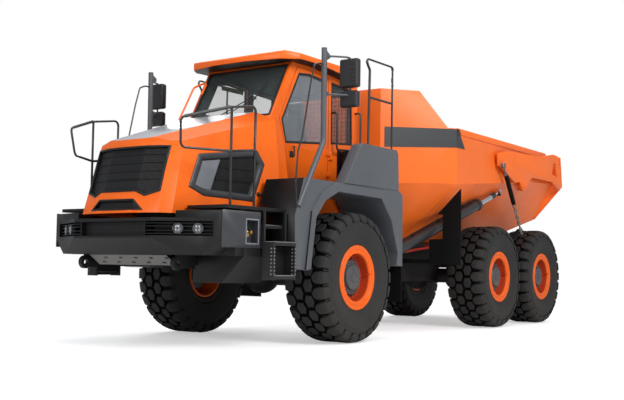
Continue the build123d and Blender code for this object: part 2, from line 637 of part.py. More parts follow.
# ---------------------------------------------------------------- bumper and front equipment
BUMPER_PLAN = [(2700, 600), (2440, 1080), (2366, 1290)]
BUMPER_BACK = 1990
BUMPER_LOW, BUMPER_SLOT_LOW, BUMPER_SLOT_HIGH, BUMPER_TOP = 1040, 1242, 1395, 1432
WING_TOP = 1515
SIDE_PLANE = 1300


def bumper():
    """Swept bumper with a slot across its face, raised ends, and cut-away lower corners."""
    front = BUMPER_PLAN + [(BUMPER_BACK, SIDE_PLANE - 10), (BUMPER_BACK, 900), (2300, 700)]
    plan = [(st(x), y) for x, y in front] + [(st(x), -y) for x, y in reversed(front)]
    body = prism_z(plan, BUMPER_LOW, BUMPER_TOP)
    wing = [(2500, 760)] + BUMPER_PLAN[1:] + [(BUMPER_BACK, SIDE_PLANE - 10), (BUMPER_BACK, 900), (2350, 760)]
    body += both(prism_z([(st(x), y) for x, y in wing], BUMPER_TOP - 20, WING_TOP))
    slot = [(2590, 560), (2352, 1060), (2300, 1200), (2800, 1200), (2800, 0), (2590, 0)]
    body -= both(prism_z([(st(x), y) for x, y in slot], BUMPER_SLOT_LOW, BUMPER_SLOT_HIGH))
    chin = [(2900, 1000), (2900, 1430), (2720, 1236), (2520, BUMPER_LOW), (2500, 1000)]
    body -= prism_y([(st(x), z) for x, z in chin], -1500, 1500)
    corner = [(1050, BUMPER_LOW - 20), (SIDE_PLANE + 20, BUMPER_LOW - 20), (SIDE_PLANE + 20, 1240)]
    return body - both(prism_x(corner, st(2130), st(2700)))


save("bumper", bumper())


def head_lamps():
    lamp_solids = None
    for x, y in ((2504, 838), (2438, 1035)):
        lamp = cyl_x(y, 1338, st(x) - 130, st(x) - 40, 48)
        lamp_solids = lamp if lamp_solids is None else lamp_solids + lamp
    return both(lamp_solids)


save("head_lamps", head_lamps() - PARTS["bumper"])

TOW_Y, TOW_Z, TOW_X = 719, 951, 2420
TOW_HOLE_RADIUS = 32
TOW_THICKNESS = 50


def tow_eyes():
    eye_plate = cyl_y(st(TOW_X), TOW_Z, TOW_Y - TOW_THICKNESS / 2, TOW_Y + TOW_THICKNESS / 2, 75)
    eye_plate += block(st(2150), st(TOW_X), TOW_Y - TOW_THICKNESS / 2, TOW_Y + TOW_THICKNESS / 2, TOW_Z - 60, BUMPER_LOW)
    eye_plate += block(st(2100), st(2240), FRAME_RAIL_Y, TOW_Y + 25, 930, BUMPER_LOW - 30)
    eye_plate -= cyl_y(st(TOW_X), TOW_Z, TOW_Y - 60, TOW_Y + 60, TOW_HOLE_RADIUS)
    return both(eye_plate)


save("tow_eyes", tow_eyes() - PARTS["front_frame"])


def side_boxes():
    """Boxes between bumper and steps; the left one has a sloping tank under it."""
    box = block(st(1712), st(1985), 900, SIDE_PLANE, 1124, 1522) + block(st(1712), st(2366), 1290, SIDE_PLANE, 1124, 1522)
    box -= block(st(1760), st(1960), 1200, SIDE_PLANE + 10, 1180, 1430)
    tank = prism_x([(560, 740), (980, 740), (1290, 1040), (1290, 1124), (560, 1124)], st(1300), st(1985))
    return both(box) + tank


save("side_boxes", side_boxes() - PARTS["bumper"])


WALKWAY_INNER = [(1255, 20), (1990, -90), (2290, -120)]     # station, and how far out from the bonnet's rear half width


def walkways():
    rear, middle, front = [(st(x), BONNET_SIDE + out) for x, out in WALKWAY_INNER]
    deck = prism_z([rear, (rear[0], 1295), (front[0], 1295), front, middle], 1540, 1580)
    posts = block(st(1990), st(2060), 1200, 1280, WING_TOP, 1540) + block(st(1720), st(1790), 1200, 1280, 1522, 1540)
    return both(deck + posts)


save("walkways", walkways())


def access_steps():
    """Hanging steps and stair between the side box and the front fender."""
    step = None
    for z, y0, y1 in ((790, 1330, 1480), (1160, 1305, 1480), (1350, 1000, 1290)):
        tread = block(st(1300), st(1690), y0, y1, z, z + 35)
        step = tread if step is None else step + tread
    for x in (1290, 1675):
        step += block(st(x), st(x) + 25, 1310, 1340, 780, 1540) + block(st(x), st(x) + 25, 1310, 1475, 780, 1195)
        step += block(st(x), st(x) + 25, 1000, 1340, 1124, 1400)
    return both(step)


save("access_steps", access_steps())

# ---------------------------------------------------------------- front fenders
FENDER_Y = 1460
FENDER_CAB_GAP = 50
FENDER_INNER = CAB_HALF + FENDER_CAB_GAP
FENDER_TOP = 1955
ARCH = [(-1000, 949), (-1030, 1119), (-860, 1547), (-600, 1820), (403, 1837), (678, 1716), (870, 1504), (967, 887)]
FENDER_OUTLINE = [(1249, 902), (1265, 1508), (1095, FENDER_TOP), (-1100, FENDER_TOP), (-1195, 1900), (-1200, 950)] + ARCH
FENDER_LIP = 25                 # how far the lip round the arch stands out
FENDER_LIP_SCALE = 1.10         # size of the lip's outer edge, as a share of the arch
BOX_TOP = 2490
BOX_OUTLINE = [(258, FENDER_TOP), (-105, BOX_TOP - 30), (-160, BOX_TOP), (-1000, BOX_TOP), (-1045, BOX_TOP - 50), (-1062, FENDER_TOP)]
CABINET_OUTLINE = [(-690, FENDER_TOP), (-760, BOX_TOP), (-1000, BOX_TOP), (-1062, FENDER_TOP)]
BOX_INNER = 1300


def fender(side):
    """Wheel arch with its lip, the tapering box over it and the cabinet behind the cab."""
    body = prism_y(stations(FENDER_OUTLINE), FENDER_INNER, FENDER_Y - FENDER_LIP)
    lip = prism_y(stations(FENDER_OUTLINE), FENDER_Y - FENDER_LIP, FENDER_Y)
    rim = [(x * FENDER_LIP_SCALE, TYRE_RADIUS + (z - TYRE_RADIUS) * FENDER_LIP_SCALE) for x, z in ARCH]
    body += lip & prism_y(stations(rim), FENDER_Y - FENDER_LIP, FENDER_Y)
    body -= block(st(640), st(1300), FENDER_INNER - 5, BONNET_SIDE + 30, 800, FENDER_TOP + 5)
    body += prism_y(stations(BOX_OUTLINE), BOX_INNER, FENDER_Y - 10)
    body += prism_y(stations(CABINET_OUTLINE), FENDER_INNER, BOX_INNER)
    return body if side > 0 else other_side(body)


save("fender_left", fender(1))
save("fender_right", fender(-1))
save("mudflaps", both(block(st(-1175), st(-1155), 930, 1440, 474, 949)))

# ---------------------------------------------------------------- cab
CAB_WALL = 45
CAB_FLOOR_LOW, CAB_FLOOR_TOP = 1900, 1945
CAB_LOW = 1600
CAB_REAR = -1200
CAB_FEET = (700, -690)
CAB_OUTLINE = [(880, CAB_LOW), (880, 2650), (760, 2775), (362, 3520), (-28, 3525), (CAB_REAR, 3440), (CAB_REAR, CAB_LOW)]
CAB_INNER = [(835, CAB_FLOOR_TOP), (835, 2632), (722, 2750), (334, 3476), (-28, 3480), (CAB_REAR + CAB_WALL, 3395),
             (CAB_REAR + CAB_WALL, CAB_FLOOR_TOP)]
DOOR_OUTLINE = [(-488, 2002), (396, 2002), (489, 2462), (608, 2775), (238, 3483), (-28, 3480), (-488, 3447)]
DOOR_WINDOW = [(-420, 2555), (461, 2475), (555, 2760), (200, 3400), (-28, 3425), (-420, 3400)]
REAR_WINDOW = [(-550, 2575), (-1065, 2610), (-1045, 3370), (-550, 3400)]
SCREEN_HALF = 640
SCREEN_LOW, SCREEN_HIGH = 2800, 3475
BACK_WINDOW_HALF = 540
BACK_WINDOW_LOW, BACK_WINDOW_HIGH = 2560, 3340
DOOR_GAP = 8
DOOR_HINGE = (-510, CAB_HALF + 18)
HINGE_HEIGHTS = (2120, 2400)
HINGE_PIN_RADIUS = 8
ROOF_OUTLINE = [(770, 3490), (362, 3520), (-28, 3525), (CAB_REAR, 3440), (-1235, 3440), (-1235, 3560), (-531, 3655),
                (-57, 3673), (420, 3670), (770, 3560)]
ROOF_CROWN = [(900, 3400), (900, 3595), (380, 3673), (-380, 3673), (-900, 3595), (-900, 3400)]
ROOF_PLAN = [(-1235, 640), (-960, 872), (430, 872), (640, 720), (770, 260)]


def cab_shell():
    """Hollow cab with its floor, the screen, door and window openings, and feet on the frame."""
    shell = prism_y(stations(CAB_OUTLINE), -CAB_HALF, CAB_HALF)
    inner_half = CAB_HALF - CAB_WALL
    shell -= prism_y(stations(CAB_INNER), -inner_half, inner_half)
    shell -= block(st(CAB_REAR + CAB_WALL), st(835), -inner_half, inner_half, CAB_LOW - 10, CAB_FLOOR_LOW)
    for x in CAB_FEET:
        shell += block(st(x) - 60, st(x) + 60, -FRAME_RAIL_Y - 60, FRAME_RAIL_Y + 60, CAB_LOW, CAB_FLOOR_LOW)
    shell -= prism_y(stations(DOOR_OUTLINE), inner_half - 5, CAB_HALF + 5)
    shell -= prism_y(stations(DOOR_WINDOW), -CAB_HALF - 5, -inner_half + 5)
    shell -= prism_y(stations(REAR_WINDOW), -CAB_HALF - 5, CAB_HALF + 5)
    shell -= block(st(250), st(1000), -SCREEN_HALF, SCREEN_HALF, SCREEN_LOW, SCREEN_HIGH)
    shell -= block(st(CAB_REAR) - 20, st(CAB_REAR) + CAB_WALL + 10, -BACK_WINDOW_HALF, BACK_WINDOW_HALF,
                   BACK_WINDOW_LOW, BACK_WINDOW_HIGH)
    return shell


def cab_roof():
    """Crowned roof whose visor stands out ahead of the windscreen."""
    roof = prism_y(stations(ROOF_OUTLINE), -900, 900) & prism_x(ROOF_CROWN, st(-1300), st(800))
    plan = stations(ROOF_PLAN) + [(st(x), -y) for x, y in reversed(ROOF_PLAN)]
    return roof & prism_z(plan, 3400, 3700)


def cab_door():
    """Door leaf with its window and hinge knuckles; it is hung on its rear edge."""
    leaf = prism_y(stations(scaled(DOOR_OUTLINE, DOOR_GAP)), CAB_HALF - CAB_WALL, CAB_HALF)
    leaf -= prism_y(stations(DOOR_WINDOW), CAB_HALF - CAB_WALL - 5, CAB_HALF + 5)
    x, y = DOOR_HINGE
    for z in HINGE_HEIGHTS:
        leaf += cyl_z(st(x), y, z, z + 60, 14) + block(st(x), st(x) + 90, CAB_HALF + 2, y - 4, z, z + 60)
        leaf += block(st(x) + 40, st(x) + 90, CAB_HALF - 6, CAB_HALF + 4, z, z + 60)
        leaf -= cyl_z(st(x), y, z - 5, z + 65, HINGE_PIN_RADIUS + RUNNING_FIT)
    return leaf


def door_hinge_pins():
    x, y = DOOR_HINGE
    pins = []
    for z in HINGE_HEIGHTS:
        plate = block(st(x) - 60, st(x) + 8, CAB_HALF - 5, y + 8, z - 50, z - MOVING_GAP)
        pins.append(cyl_z(st(x), y, z - 50, z + 70, HINGE_PIN_RADIUS) + plate)
    return pins[0] + pins[1]


save("cab_shell", cab_shell() + door_hinge_pins())
save("cab_roof", cab_roof())
save("cab_door", cab_door())

GLASS = 8


def cab_glass():
    """Windscreen, right-hand and rear panes, one solid each."""
    (x_low, z_low), (x_high, z_high) = CAB_OUTLINE[2:4]
    lean = (x_low - x_high) / (z_high - z_low)
    low, high = st(x_low - (SCREEN_LOW - z_low) * lean - 24), st(x_low - (SCREEN_HIGH - z_low) * lean - 24)
    panes = prism_y([(low, SCREEN_LOW), (low + GLASS, SCREEN_LOW), (high + GLASS, SCREEN_HIGH), (high, SCREEN_HIGH)],
                    -SCREEN_HALF, SCREEN_HALF)
    panes += prism_y(stations(DOOR_WINDOW), -CAB_HALF + 15, -CAB_HALF + 15 + GLASS)
    panes += both(prism_y(stations(REAR_WINDOW), CAB_HALF - 15 - GLASS, CAB_HALF - 15))
    panes += block(st(CAB_REAR) + 15, st(CAB_REAR) + 15 + GLASS, -BACK_WINDOW_HALF, BACK_WINDOW_HALF,
                   BACK_WINDOW_LOW, BACK_WINDOW_HIGH)
    return panes


save("cab_glass", cab_glass())
save("door_glass", prism_y(stations(DOOR_WINDOW), CAB_HALF - 15 - GLASS, CAB_HALF - 15))


SEAT_X = -330                   # middle of the cushion


def operator_seat():
    """Pedestal, cushion, backrest and headrest."""
    seat = block(st(SEAT_X - 220), st(SEAT_X + 200), -200, 200, CAB_FLOOR_TOP, 2280)
    seat += block(st(SEAT_X - 240), st(SEAT_X + 260), -255, 255, 2280, 2420)
    back = [(-130, 2420), (-260, 2420), (-400, 3000), (-280, 3020)]
    headrest = [(-285, 3000), (-390, 3000), (-410, 3200), (-320, 3200)]
    seat += prism_y([(st(SEAT_X + x), z) for x, z in back], -240, 240)
    return seat + prism_y([(st(SEAT_X + x), z) for x, z in headrest], -130, 130)


def steering_console():
    console = prism_y(stations([(480, CAB_FLOOR_TOP), (835, CAB_FLOOR_TOP), (835, 2600), (640, 2540)]), -420, 420)
    column = rod_between((st(620), 0, 2237), (st(280), 0, 2620), 35)
    wheel = Plane(origin=(st(275), 0, 2625), z_dir=Vector(-240, 0, 270)) * Torus(205, 16)
    spoke = rod_between((st(275), -200, 2625), (st(275), 200, 2625), 10)
    return console + column + wheel + spoke


save("operator_seat", operator_seat())
save("steering_console", steering_console())

# cab mounts on the frame
for x in CAB_FEET:
    PARTS["front_frame"] += both(block(st(x) - 60, st(x) + 60, FRAME_RAIL_Y - 50, FRAME_RAIL_Y + 50, FRAME_RAIL_HIGH - 20, CAB_LOW))

# outriggers that carry fenders, side boxes and bumper
PARTS["front_frame"] += both(block(st(1120), st(1230), FRAME_RAIL_Y, 1250, 960, 1060))
PARTS["front_frame"] += both(block(st(1350), st(1450), FRAME_RAIL_Y, 600, 960, 1060))
for node in ("fender_left", "fender_right", "side_boxes", "access_steps", "bumper"):
    PARTS["front_frame"] -= PARTS[node]
    PARTS["steering_yoke"] -= PARTS[node]

# ---------------------------------------------------------------- handrails and mirrors
RAIL_RADIUS = 19


def handrails():
    front = tube_run([(st(1600), 1105, 1570), (st(1595), 1105, 2731), (st(2026), 1102, 2666),
                      (st(2564), 863, 2500), (st(2520), 830, 2186), (st(2010), 1102, 2180)], RAIL_RADIUS, 60)
    front += tube_run([(st(2010), 1102, 1570), (st(2010), 1102, 2665)], RAIL_RADIUS)
    front += tube_run([(st(1598), 1105, 2231), (st(2010), 1102, 2180)], RAIL_RADIUS)
    rear = tube_run([(st(-290), 1430, BOX_TOP - 250), (st(-325), 1430, 3455), (st(-210), 1430, 3590), (st(-900), 1430, 3590),
                     (st(-890), 1430, BOX_TOP - 40)], RAIL_RADIUS, 40)
    rear += tube_run([(st(-316), 1430, 3100), (st(-893), 1430, 3100)], RAIL_RADIUS)
    # grab loop outside the cab's rear side window
    y_in, y_out = CAB_HALF - 10, CAB_HALF + 90
    side = tube_run([(st(-560), y_in, 2990), (st(-560), y_out, 2990), (st(-560), y_out, 2490), (st(-1150), y_out, 2530),
                     (st(-1150), y_out, 3060), (st(-1150), y_in, 3060)], RAIL_RADIUS, 40)
    return both(front + rear + side)


MIRROR_X, MIRROR_Y = 400, 1600


def mirrors():
    post = tube_run([(st(1199), 1430, 1618), (st(705), 1430, 2420), (st(715), 1430, 3538)], 32, 200)
    for z in (3460, 2990):
        post += tube_run([(st(712), 1430, z), (st(MIRROR_X) + 60, MIRROR_Y, z), (st(MIRROR_X), MIRROR_Y, z - 40)], 14, 30)
    post += block(st(MIRROR_X) - 55, st(MIRROR_X) + 55, MIRROR_Y - 130, MIRROR_Y + 130, 3090, 3440)
    post += block(st(MIRROR_X) - 50, st(MIRROR_X) + 50, MIRROR_Y - 125, MIRROR_Y + 125, 2850, 3050)
    return both(post)


save("handrails", handrails() - PARTS["fender_left"] - PARTS["fender_right"] - PARTS["walkways"] - PARTS["cab_shell"])
save("mirrors", mirrors() - PARTS["fender_left"] - PARTS["fender_right"])

for node_name, shape in PARTS.items():
    print(node_name, len(shape.solids()), round(shape.volume / 1e9, 4))

os.makedirs("parts", exist_ok=True)
for node_name, shape in PARTS.items():
    export_step(shape, f"parts/{node_name}.step")
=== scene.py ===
import bpy, bmesh
from math import copysign, cos, exp, hypot, pi, radians, sin, tan
from mathutils import Vector, Matrix


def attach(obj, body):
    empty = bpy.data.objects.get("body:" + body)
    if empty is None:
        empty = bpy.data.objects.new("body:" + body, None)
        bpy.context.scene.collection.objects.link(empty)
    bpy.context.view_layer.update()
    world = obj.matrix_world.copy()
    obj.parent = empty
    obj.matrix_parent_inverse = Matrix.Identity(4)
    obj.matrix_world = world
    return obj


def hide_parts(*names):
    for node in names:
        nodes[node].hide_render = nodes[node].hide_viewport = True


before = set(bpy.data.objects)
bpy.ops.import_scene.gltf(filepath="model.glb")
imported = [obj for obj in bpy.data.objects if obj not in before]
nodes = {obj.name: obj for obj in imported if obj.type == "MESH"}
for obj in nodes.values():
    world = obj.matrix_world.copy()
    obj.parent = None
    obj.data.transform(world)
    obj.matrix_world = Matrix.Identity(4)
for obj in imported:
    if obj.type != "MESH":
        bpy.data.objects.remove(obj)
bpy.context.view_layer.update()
scene = bpy.context.scene

FRONT_AXLE = 2.15  # the front axle's X in the shared frame; stations are measured from it


def st(x):
    return x + FRONT_AXLE


def node(nt, kind, inputs=None, **settings):
    """Adds a shader node; each input takes a value, another node (its first output) or a node's socket."""
    n = nt.nodes.new("ShaderNode" + kind)
    for key, value in settings.items():
        setattr(n, key, value)
    feed(nt, n, inputs or {})
    return n


def feed(nt, n, inputs):
    for key, value in inputs.items():
        if isinstance(value, bpy.types.Node):
            value = value.outputs[0]
        if isinstance(value, bpy.types.NodeSocket):
            nt.links.new(value, n.inputs[key])
        else:
            n.inputs[key].default_value = value


def new_mat(name):
    m = bpy.data.materials.new(name)
    m.use_nodes = True
    nt = m.node_tree
    nt.nodes.clear()
    bsdf = node(nt, "BsdfPrincipled")
    node(nt, "OutputMaterial", {0: bsdf})
    return m, nt, bsdf


def object_place(nt):
    return node(nt, "TexCoord").outputs["Object"]


def noise(nt, scale, detail=4.0, rough=0.55):
    return node(nt, "TexNoise", {"Scale": scale, "Detail": detail, "Roughness": rough, "Vector": object_place(nt)})


def ramp(nt, source, stops):
    r = node(nt, "ValToRGB", {0: source})
    for e, (pos, color) in zip(r.color_ramp.elements, stops):
        e.position = pos
        e.color = (*color, 1.0)
    return r


def bump(nt, height, strength, distance):
    return node(nt, "Bump", {"Strength": strength, "Distance": distance, "Height": height})


def surface(name, color, rough, metallic=0.0, coat=0.0, coat_rough=0.1, vary=0.06, grain=0.0, grain_scale=220.0,
            dust=0.0, dust_top=1.4, specular=0.5, rough_vary=0.08):
    """Painted, moulded or rubber surface: slow colour drift, patchy roughness, fine bump, dust low down."""
    m, nt, bsdf = new_mat(name)
    dark = tuple(c * (1 - vary) for c in color)
    light = tuple(min(1.0, c * (1 + vary)) for c in color)
    paint = ramp(nt, noise(nt, DRIFT_SCALE, 5.0, 0.6), [(0.3, dark), (0.7, light)])
    if dust > 0:
        split = node(nt, "SeparateXYZ", {0: object_place(nt)})
        fall = node(nt, "MapRange", {"From Min": 0.0, "From Max": dust_top, "To Min": dust, "To Max": 0.0,
                                     "Value": split.outputs["Z"]})
        share = node(nt, "Math", {0: fall, 1: noise(nt, 9.0, 8.0, 0.7)}, operation="MULTIPLY")
        paint = node(nt, "Mix", {"Factor": share, "A": paint, "B": DUST}, data_type="RGBA").outputs["Result"]
    polish = node(nt, "MapRange", {"To Min": max(0.02, rough - rough_vary), "To Max": min(1.0, rough + rough_vary),
                                   "Value": noise(nt, DRIFT_SCALE * 5, 6.0, 0.6)})
    feed(nt, bsdf, {"Base Color": paint, "Metallic": metallic, "Specular IOR Level": specular, "Coat Weight": coat,
                    "Coat Roughness": coat_rough, "Roughness": polish})
    if grain > 0:
        feed(nt, bsdf, {"Normal": bump(nt, noise(nt, grain_scale, 3.0, 0.6), grain, 0.002)})
    return m


def mesh_grille(name, pitch, color):
    """Black pressed mesh: round holes in a sheet, drawn by depth in the shader; each hole's middle is painted
    near-black as painted shade of the space behind the sheet.
    """
    m, nt, bsdf = new_mat(name)
    dots = node(nt, "TexVoronoi", {"Scale": 1.0 / pitch, "Randomness": 0.0, "Vector": object_place(nt)})
    # painted shade: the middle of each hole goes near-black
    hole = ramp(nt, dots, [(0.28, (0.0015, 0.0015, 0.0015)), (0.42, color)])
    relief = bump(nt, dots, 0.6, 0.006)
    feed(nt, bsdf, {"Base Color": hole, "Normal": relief, "Roughness": 0.5, "Specular IOR Level": 0.25})
    return m


def glass_mat(name, tint, alpha):
    m, nt, bsdf = new_mat(name)
    film = ramp(nt, noise(nt, 2.0, 3.0), [(0.3, tuple(c * 0.9 for c in tint)), (0.7, tint)])
    feed(nt, bsdf, {"Base Color": film, "Roughness": 0.03, "Alpha": alpha, "IOR": 1.5, "Coat Weight": 0.2,
                    "Coat Roughness": 0.02})
    return m


DRIFT_SCALE = 1.4  # scale of the slow change of colour
DUST = (0.3, 0.24, 0.18, 1)
ORANGE = surface("orange_paint", (0.86, 0.135, 0.008), 0.36, coat=0.08, coat_rough=0.14, vary=0.03,
                 grain=0.03, grain_scale=60, specular=0.22)
ORANGE_BED = surface("orange_body_paint", (0.86, 0.15, 0.014), 0.42, coat=0.06, coat_rough=0.2,
                     vary=0.05, grain=0.05, grain_scale=40, specular=0.3)
GREY = surface("dark_grey_paint", (0.078, 0.084, 0.094), 0.44, coat=0.08, vary=0.08, grain=0.06,
               grain_scale=90, dust=0.06, specular=0.35)
BOX_GREY = surface("side_box_paint", (0.036, 0.037, 0.041), 0.44, coat=0.08, vary=0.08, grain=0.06,
                   dust=0.05, specular=0.35)
BUMPER_GREY = surface("bumper_paint", (0.0065, 0.0065, 0.0072), 0.48, coat=0.03, vary=0.1,
                      grain=0.08, grain_scale=90, dust=0.03, specular=0.28)
BONNET_TOP = surface("bonnet_top_paint", (0.44, 0.45, 0.48), 0.3, coat=0.3, vary=0.04, grain=0.03,
                     metallic=0.25)
GREY_LIGHT = surface("grey_panel_paint", (0.2, 0.21, 0.23), 0.32, coat=0.3, vary=0.05, grain=0.04,
                     metallic=0.3)
FRAME_GREY = surface("frame_paint", (0.012, 0.012, 0.013), 0.55, vary=0.15, grain=0.15, dust=0.1,
                     specular=0.3)
BLACK = surface("black_steel", (0.006, 0.006, 0.0065), 0.42, vary=0.1, grain=0.05, specular=0.3)
PLASTIC = surface("black_plastic", (0.018, 0.018, 0.02), 0.5, vary=0.1, grain=0.25, grain_scale=300,
                  specular=0.4)
RUBBER = surface("tyre_rubber", (0.017, 0.0168, 0.017), 0.68, vary=0.18, grain=0.3, grain_scale=120,
                 dust=0.08, dust_top=1.7, specular=0.3)
FLAP = surface("flap_rubber", (0.004, 0.004, 0.004), 0.8, vary=0.1, grain=0.2, specular=0.15)
CHROME = surface("rod_chrome", (0.62, 0.63, 0.65), 0.12, metallic=1.0, vary=0.02, rough_vary=0.04)
STEEL = surface("bare_steel", (0.38, 0.38, 0.39), 0.35, metallic=0.9, vary=0.08)
RED = surface("red_paint", (0.62, 0.035, 0.02), 0.4, coat=0.2)
LAMP = surface("lamp_lens", (0.085, 0.085, 0.09), 0.1, coat=0.6, vary=0.03, specular=0.6)
EMITTER = surface("lamp_reflector", (0.42, 0.42, 0.43), 0.25, metallic=0.8, vary=0.05)
FABRIC = surface("seat_cloth", (0.055, 0.06, 0.066), 0.9, vary=0.1, grain=0.6, grain_scale=500)
CABIN = surface("cabin_trim", (0.03, 0.031, 0.034), 0.7, vary=0.08, grain=0.3, specular=0.3)
GRILLE = mesh_grille("grille_mesh", 0.028, (0.009, 0.009, 0.01))
GLASS = glass_mat("cab_glass_clear", (0.16, 0.2, 0.2), 0.16)
CAST = surface("engine_cast", (0.06, 0.06, 0.06), 0.6, vary=0.2, grain=0.3)
RAIL = surface("handrail_paint", (0.013, 0.0135, 0.015), 0.4, coat=0.1, vary=0.06, grain=0.05)
HUB_GREY = surface("hub_grey", (0.05, 0.052, 0.056), 0.45, coat=0.1, vary=0.12, grain=0.1, dust=0.12)
STEEL_DULL = surface("dull_steel", (0.2, 0.19, 0.18), 0.5, metallic=0.4, vary=0.12, grain=0.1, dust=0.1)
CHAIN_STEEL = surface("chain_steel", (0.23, 0.22, 0.21), 0.42, metallic=0.85, vary=0.15)
BRASS = surface("brass_fittings", (0.62, 0.34, 0.08), 0.3, metallic=0.9, vary=0.1)
SEAL = surface("window_seal_rubber", (0.012, 0.012, 0.013), 0.6, vary=0.1, grain=0.1)
OLIVE = surface("olive_blind", (0.16, 0.14, 0.03), 0.8, vary=0.1, grain=0.3)
MIRROR = surface("mirror_glass", (0.8, 0.82, 0.84), 0.04, metallic=1.0, vary=0.01, rough_vary=0.01)
ORANGE_DEEP = surface("orange_rim_paint", (0.8, 0.115, 0.006), 0.42, coat=0.04, vary=0.06, grain=0.05,
                      dust=0.02, specular=0.2)
# darker red-orange for the rim's dished disc: painted shade in the dish
ORANGE_DISH_SHADE = surface("orange_rim_dish_painted_shade", (0.42, 0.035, 0.005), 0.5, vary=0.1, grain=0.05, dust=0.04,
                      specular=0.2)
# near-black rubber for the groove floors and the centre blocks' walls: painted shade in the tread's recesses
GROOVE_SHADE = surface("tyre_groove_painted_shade", (0.0035, 0.0034, 0.0034), 0.85, vary=0.2, grain=0.2,
                 specular=0.12)
CYLINDER = surface("cylinder_paint", (0.02, 0.0205, 0.023), 0.36, coat=0.25, vary=0.08, grain=0.04)
BAND = surface("band_film", (0.019, 0.021, 0.024), 0.4, coat=0.1, vary=0.04, grain=0.03)
PIPE_RED = surface("pipe_red", (0.6, 0.04, 0.025), 0.42, coat=0.1, vary=0.08, grain=0.05)
# pale, half-clear film on the door glass: painted sheen of reflected light
GLASS_DOOR_SHEEN = glass_mat("door_glass_painted_sheen", (0.34, 0.38, 0.41), 0.34)


def give(name, mat):
    """Puts a material on a carried-over CAD node."""
    mesh = nodes[name].data
    mesh.materials.clear()
    mesh.materials.append(mat)


# ---- mesh helpers
def link(name, data):
    o = bpy.data.objects.new(name, data)
    scene.collection.objects.link(o)
    return o


def add_object(name, mesh, mat, body="front_chassis"):
    o = link(name, mesh)
    mesh.materials.clear()
    mesh.materials.append(mat)
    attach(o, body)
    return o


def rounded(o, width, segments, angle):
    bevel = o.modifiers.new("bevel", "BEVEL")
    bevel.width, bevel.segments = width, segments
    bevel.limit_method = "ANGLE"
    bevel.angle_limit = radians(angle)
    bevel.harden_normals = True


def written(bm, mesh, smooth=True):
    """Ends an edit: the mesh takes its faces, shaded smooth or flat."""
    for f in bm.faces:
        f.smooth = smooth
    bm.to_mesh(mesh)
    bm.free()
    return mesh


def edited_copy(name, suffix, dissolve, edit=None):
    """A CAD node's mesh with its flat facets joined, smooth shaded, after an optional edit."""
    mesh = nodes[name].data.copy()
    mesh.name = name + suffix
    bm = bmesh.new()
    bm.from_mesh(mesh)
    bmesh.ops.remove_doubles(bm, verts=bm.verts, dist=0.00005)
    bmesh.ops.dissolve_limit(bm, angle_limit=radians(dissolve), verts=bm.verts, edges=bm.edges)
    if edit:
        edit(bm)
    return written(bm, mesh)


def softened(name, mat, width, body="front_chassis", slot=None):
    """A copy of a CAD node with its edges rounded, shown in the node's place."""
    o = add_object(name + "_soft", edited_copy(name, "_soft", 2.0), mat, body)
    rounded(o, width, 2, 25)
    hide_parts(name)


# ---- mesh builders
# A shape is a pair of lists, (vertices, faces). Shapes are joined before they become one piece.
def join(*shapes):
    verts, faces = [], []
    for v, f in shapes:
        base = len(verts)
        verts += list(v)
        faces += [tuple(i + base for i in face) for face in f]
    return verts, faces


def moved(shape, matrix):
    return [tuple(matrix @ Vector(v)) for v in shape[0]], shape[1]


def flipped(shape):
    """Mirror image about the truck's middle plane."""
    return [(x, -y, z) for x, y, z in shape[0]], [tuple(reversed(f)) for f in shape[1]]


def both(shape):
    return join(shape, flipped(shape))


def skin(rings, count, around=True, along=False):
    """Quads between each ring of points and the next, each ring of the same count."""
    quads = []
    for r in range(rings if along else rings - 1):
        here, after = r * count, (r + 1) % rings * count
        for i in range(count if around else count - 1):
            j = (i + 1) % count
            quads.append((here + i, here + j, after + j, after + i))
    return quads


def ends(rings, count):
    """The faces that close the first and the last ring."""
    return [tuple(range(count - 1, -1, -1)), tuple(range((rings - 1) * count, rings * count))]


# an outline's two coordinates and its third, along the axis it is drawn out on
PLACE = {"y": lambda a, b, t: (a, t, b), "x": lambda a, b, t: (t, a, b), "z": lambda a, b, t: (a, b, t)}


def prism(outline, lo, hi, axis="y"):
    """Outline drawn out along an axis: (x, z) points for y, (y, z) for x, (x, y) for z."""
    verts = [PLACE[axis](a, b, t) for t in (lo, hi) for a, b in outline]
    return verts, skin(2, len(outline)) + ends(2, len(outline))


def rect(a0, a1, b0, b1):
    return [(a0, b0), (a1, b0), (a1, b1), (a0, b1)]


def block(x0, x1, y0, y1, z0, z1):
    return prism(rect(x0, x1, z0, z1), y0, y1)


def slab(x0, x1, *sides):
    return block(st(x0), st(x1), *sides)


def ring_plate(outer, inner, lo, hi, axis="y"):
    """Flat frame between two outlines of the same number of points."""
    rings = ((outer, lo), (inner, lo), (inner, hi), (outer, hi))
    return [PLACE[axis](a, b, t) for ring, t in rings for a, b in ring], skin(4, len(outer), along=True)


def shrink(outline, amount):
    """Outline drawn in by the amount along each corner's bisector."""
    area = sum(a[0] * b[1] - b[0] * a[1] for a, b in zip(outline, outline[1:] + outline[:1]))
    sign = 1 if area > 0 else -1
    result = []
    for i, p in enumerate(outline):
        before, here, after = Vector(outline[i - 1]), Vector(p), Vector(outline[(i + 1) % len(outline)])
        e1, e2 = (here - before).normalized(), (after - here).normalized()
        n1, n2 = Vector((-e1.y, e1.x)) * sign, Vector((-e2.y, e2.x)) * sign
        mid = (n1 + n2).normalized()
        result.append(tuple(here + mid * (amount / max(0.4, mid.dot(n1)))))
    return result


def angles(count):
    return [2 * pi * k / count for k in range(count)]


def lathe(profile, segments=48, closed=True):
    """Profile of (radius, width) points turned about the Y axis through the origin."""
    verts = [(r * sin(a), w, r * cos(a)) for a in angles(segments) for r, w in profile]
    return verts, skin(segments, len(profile), closed, True)


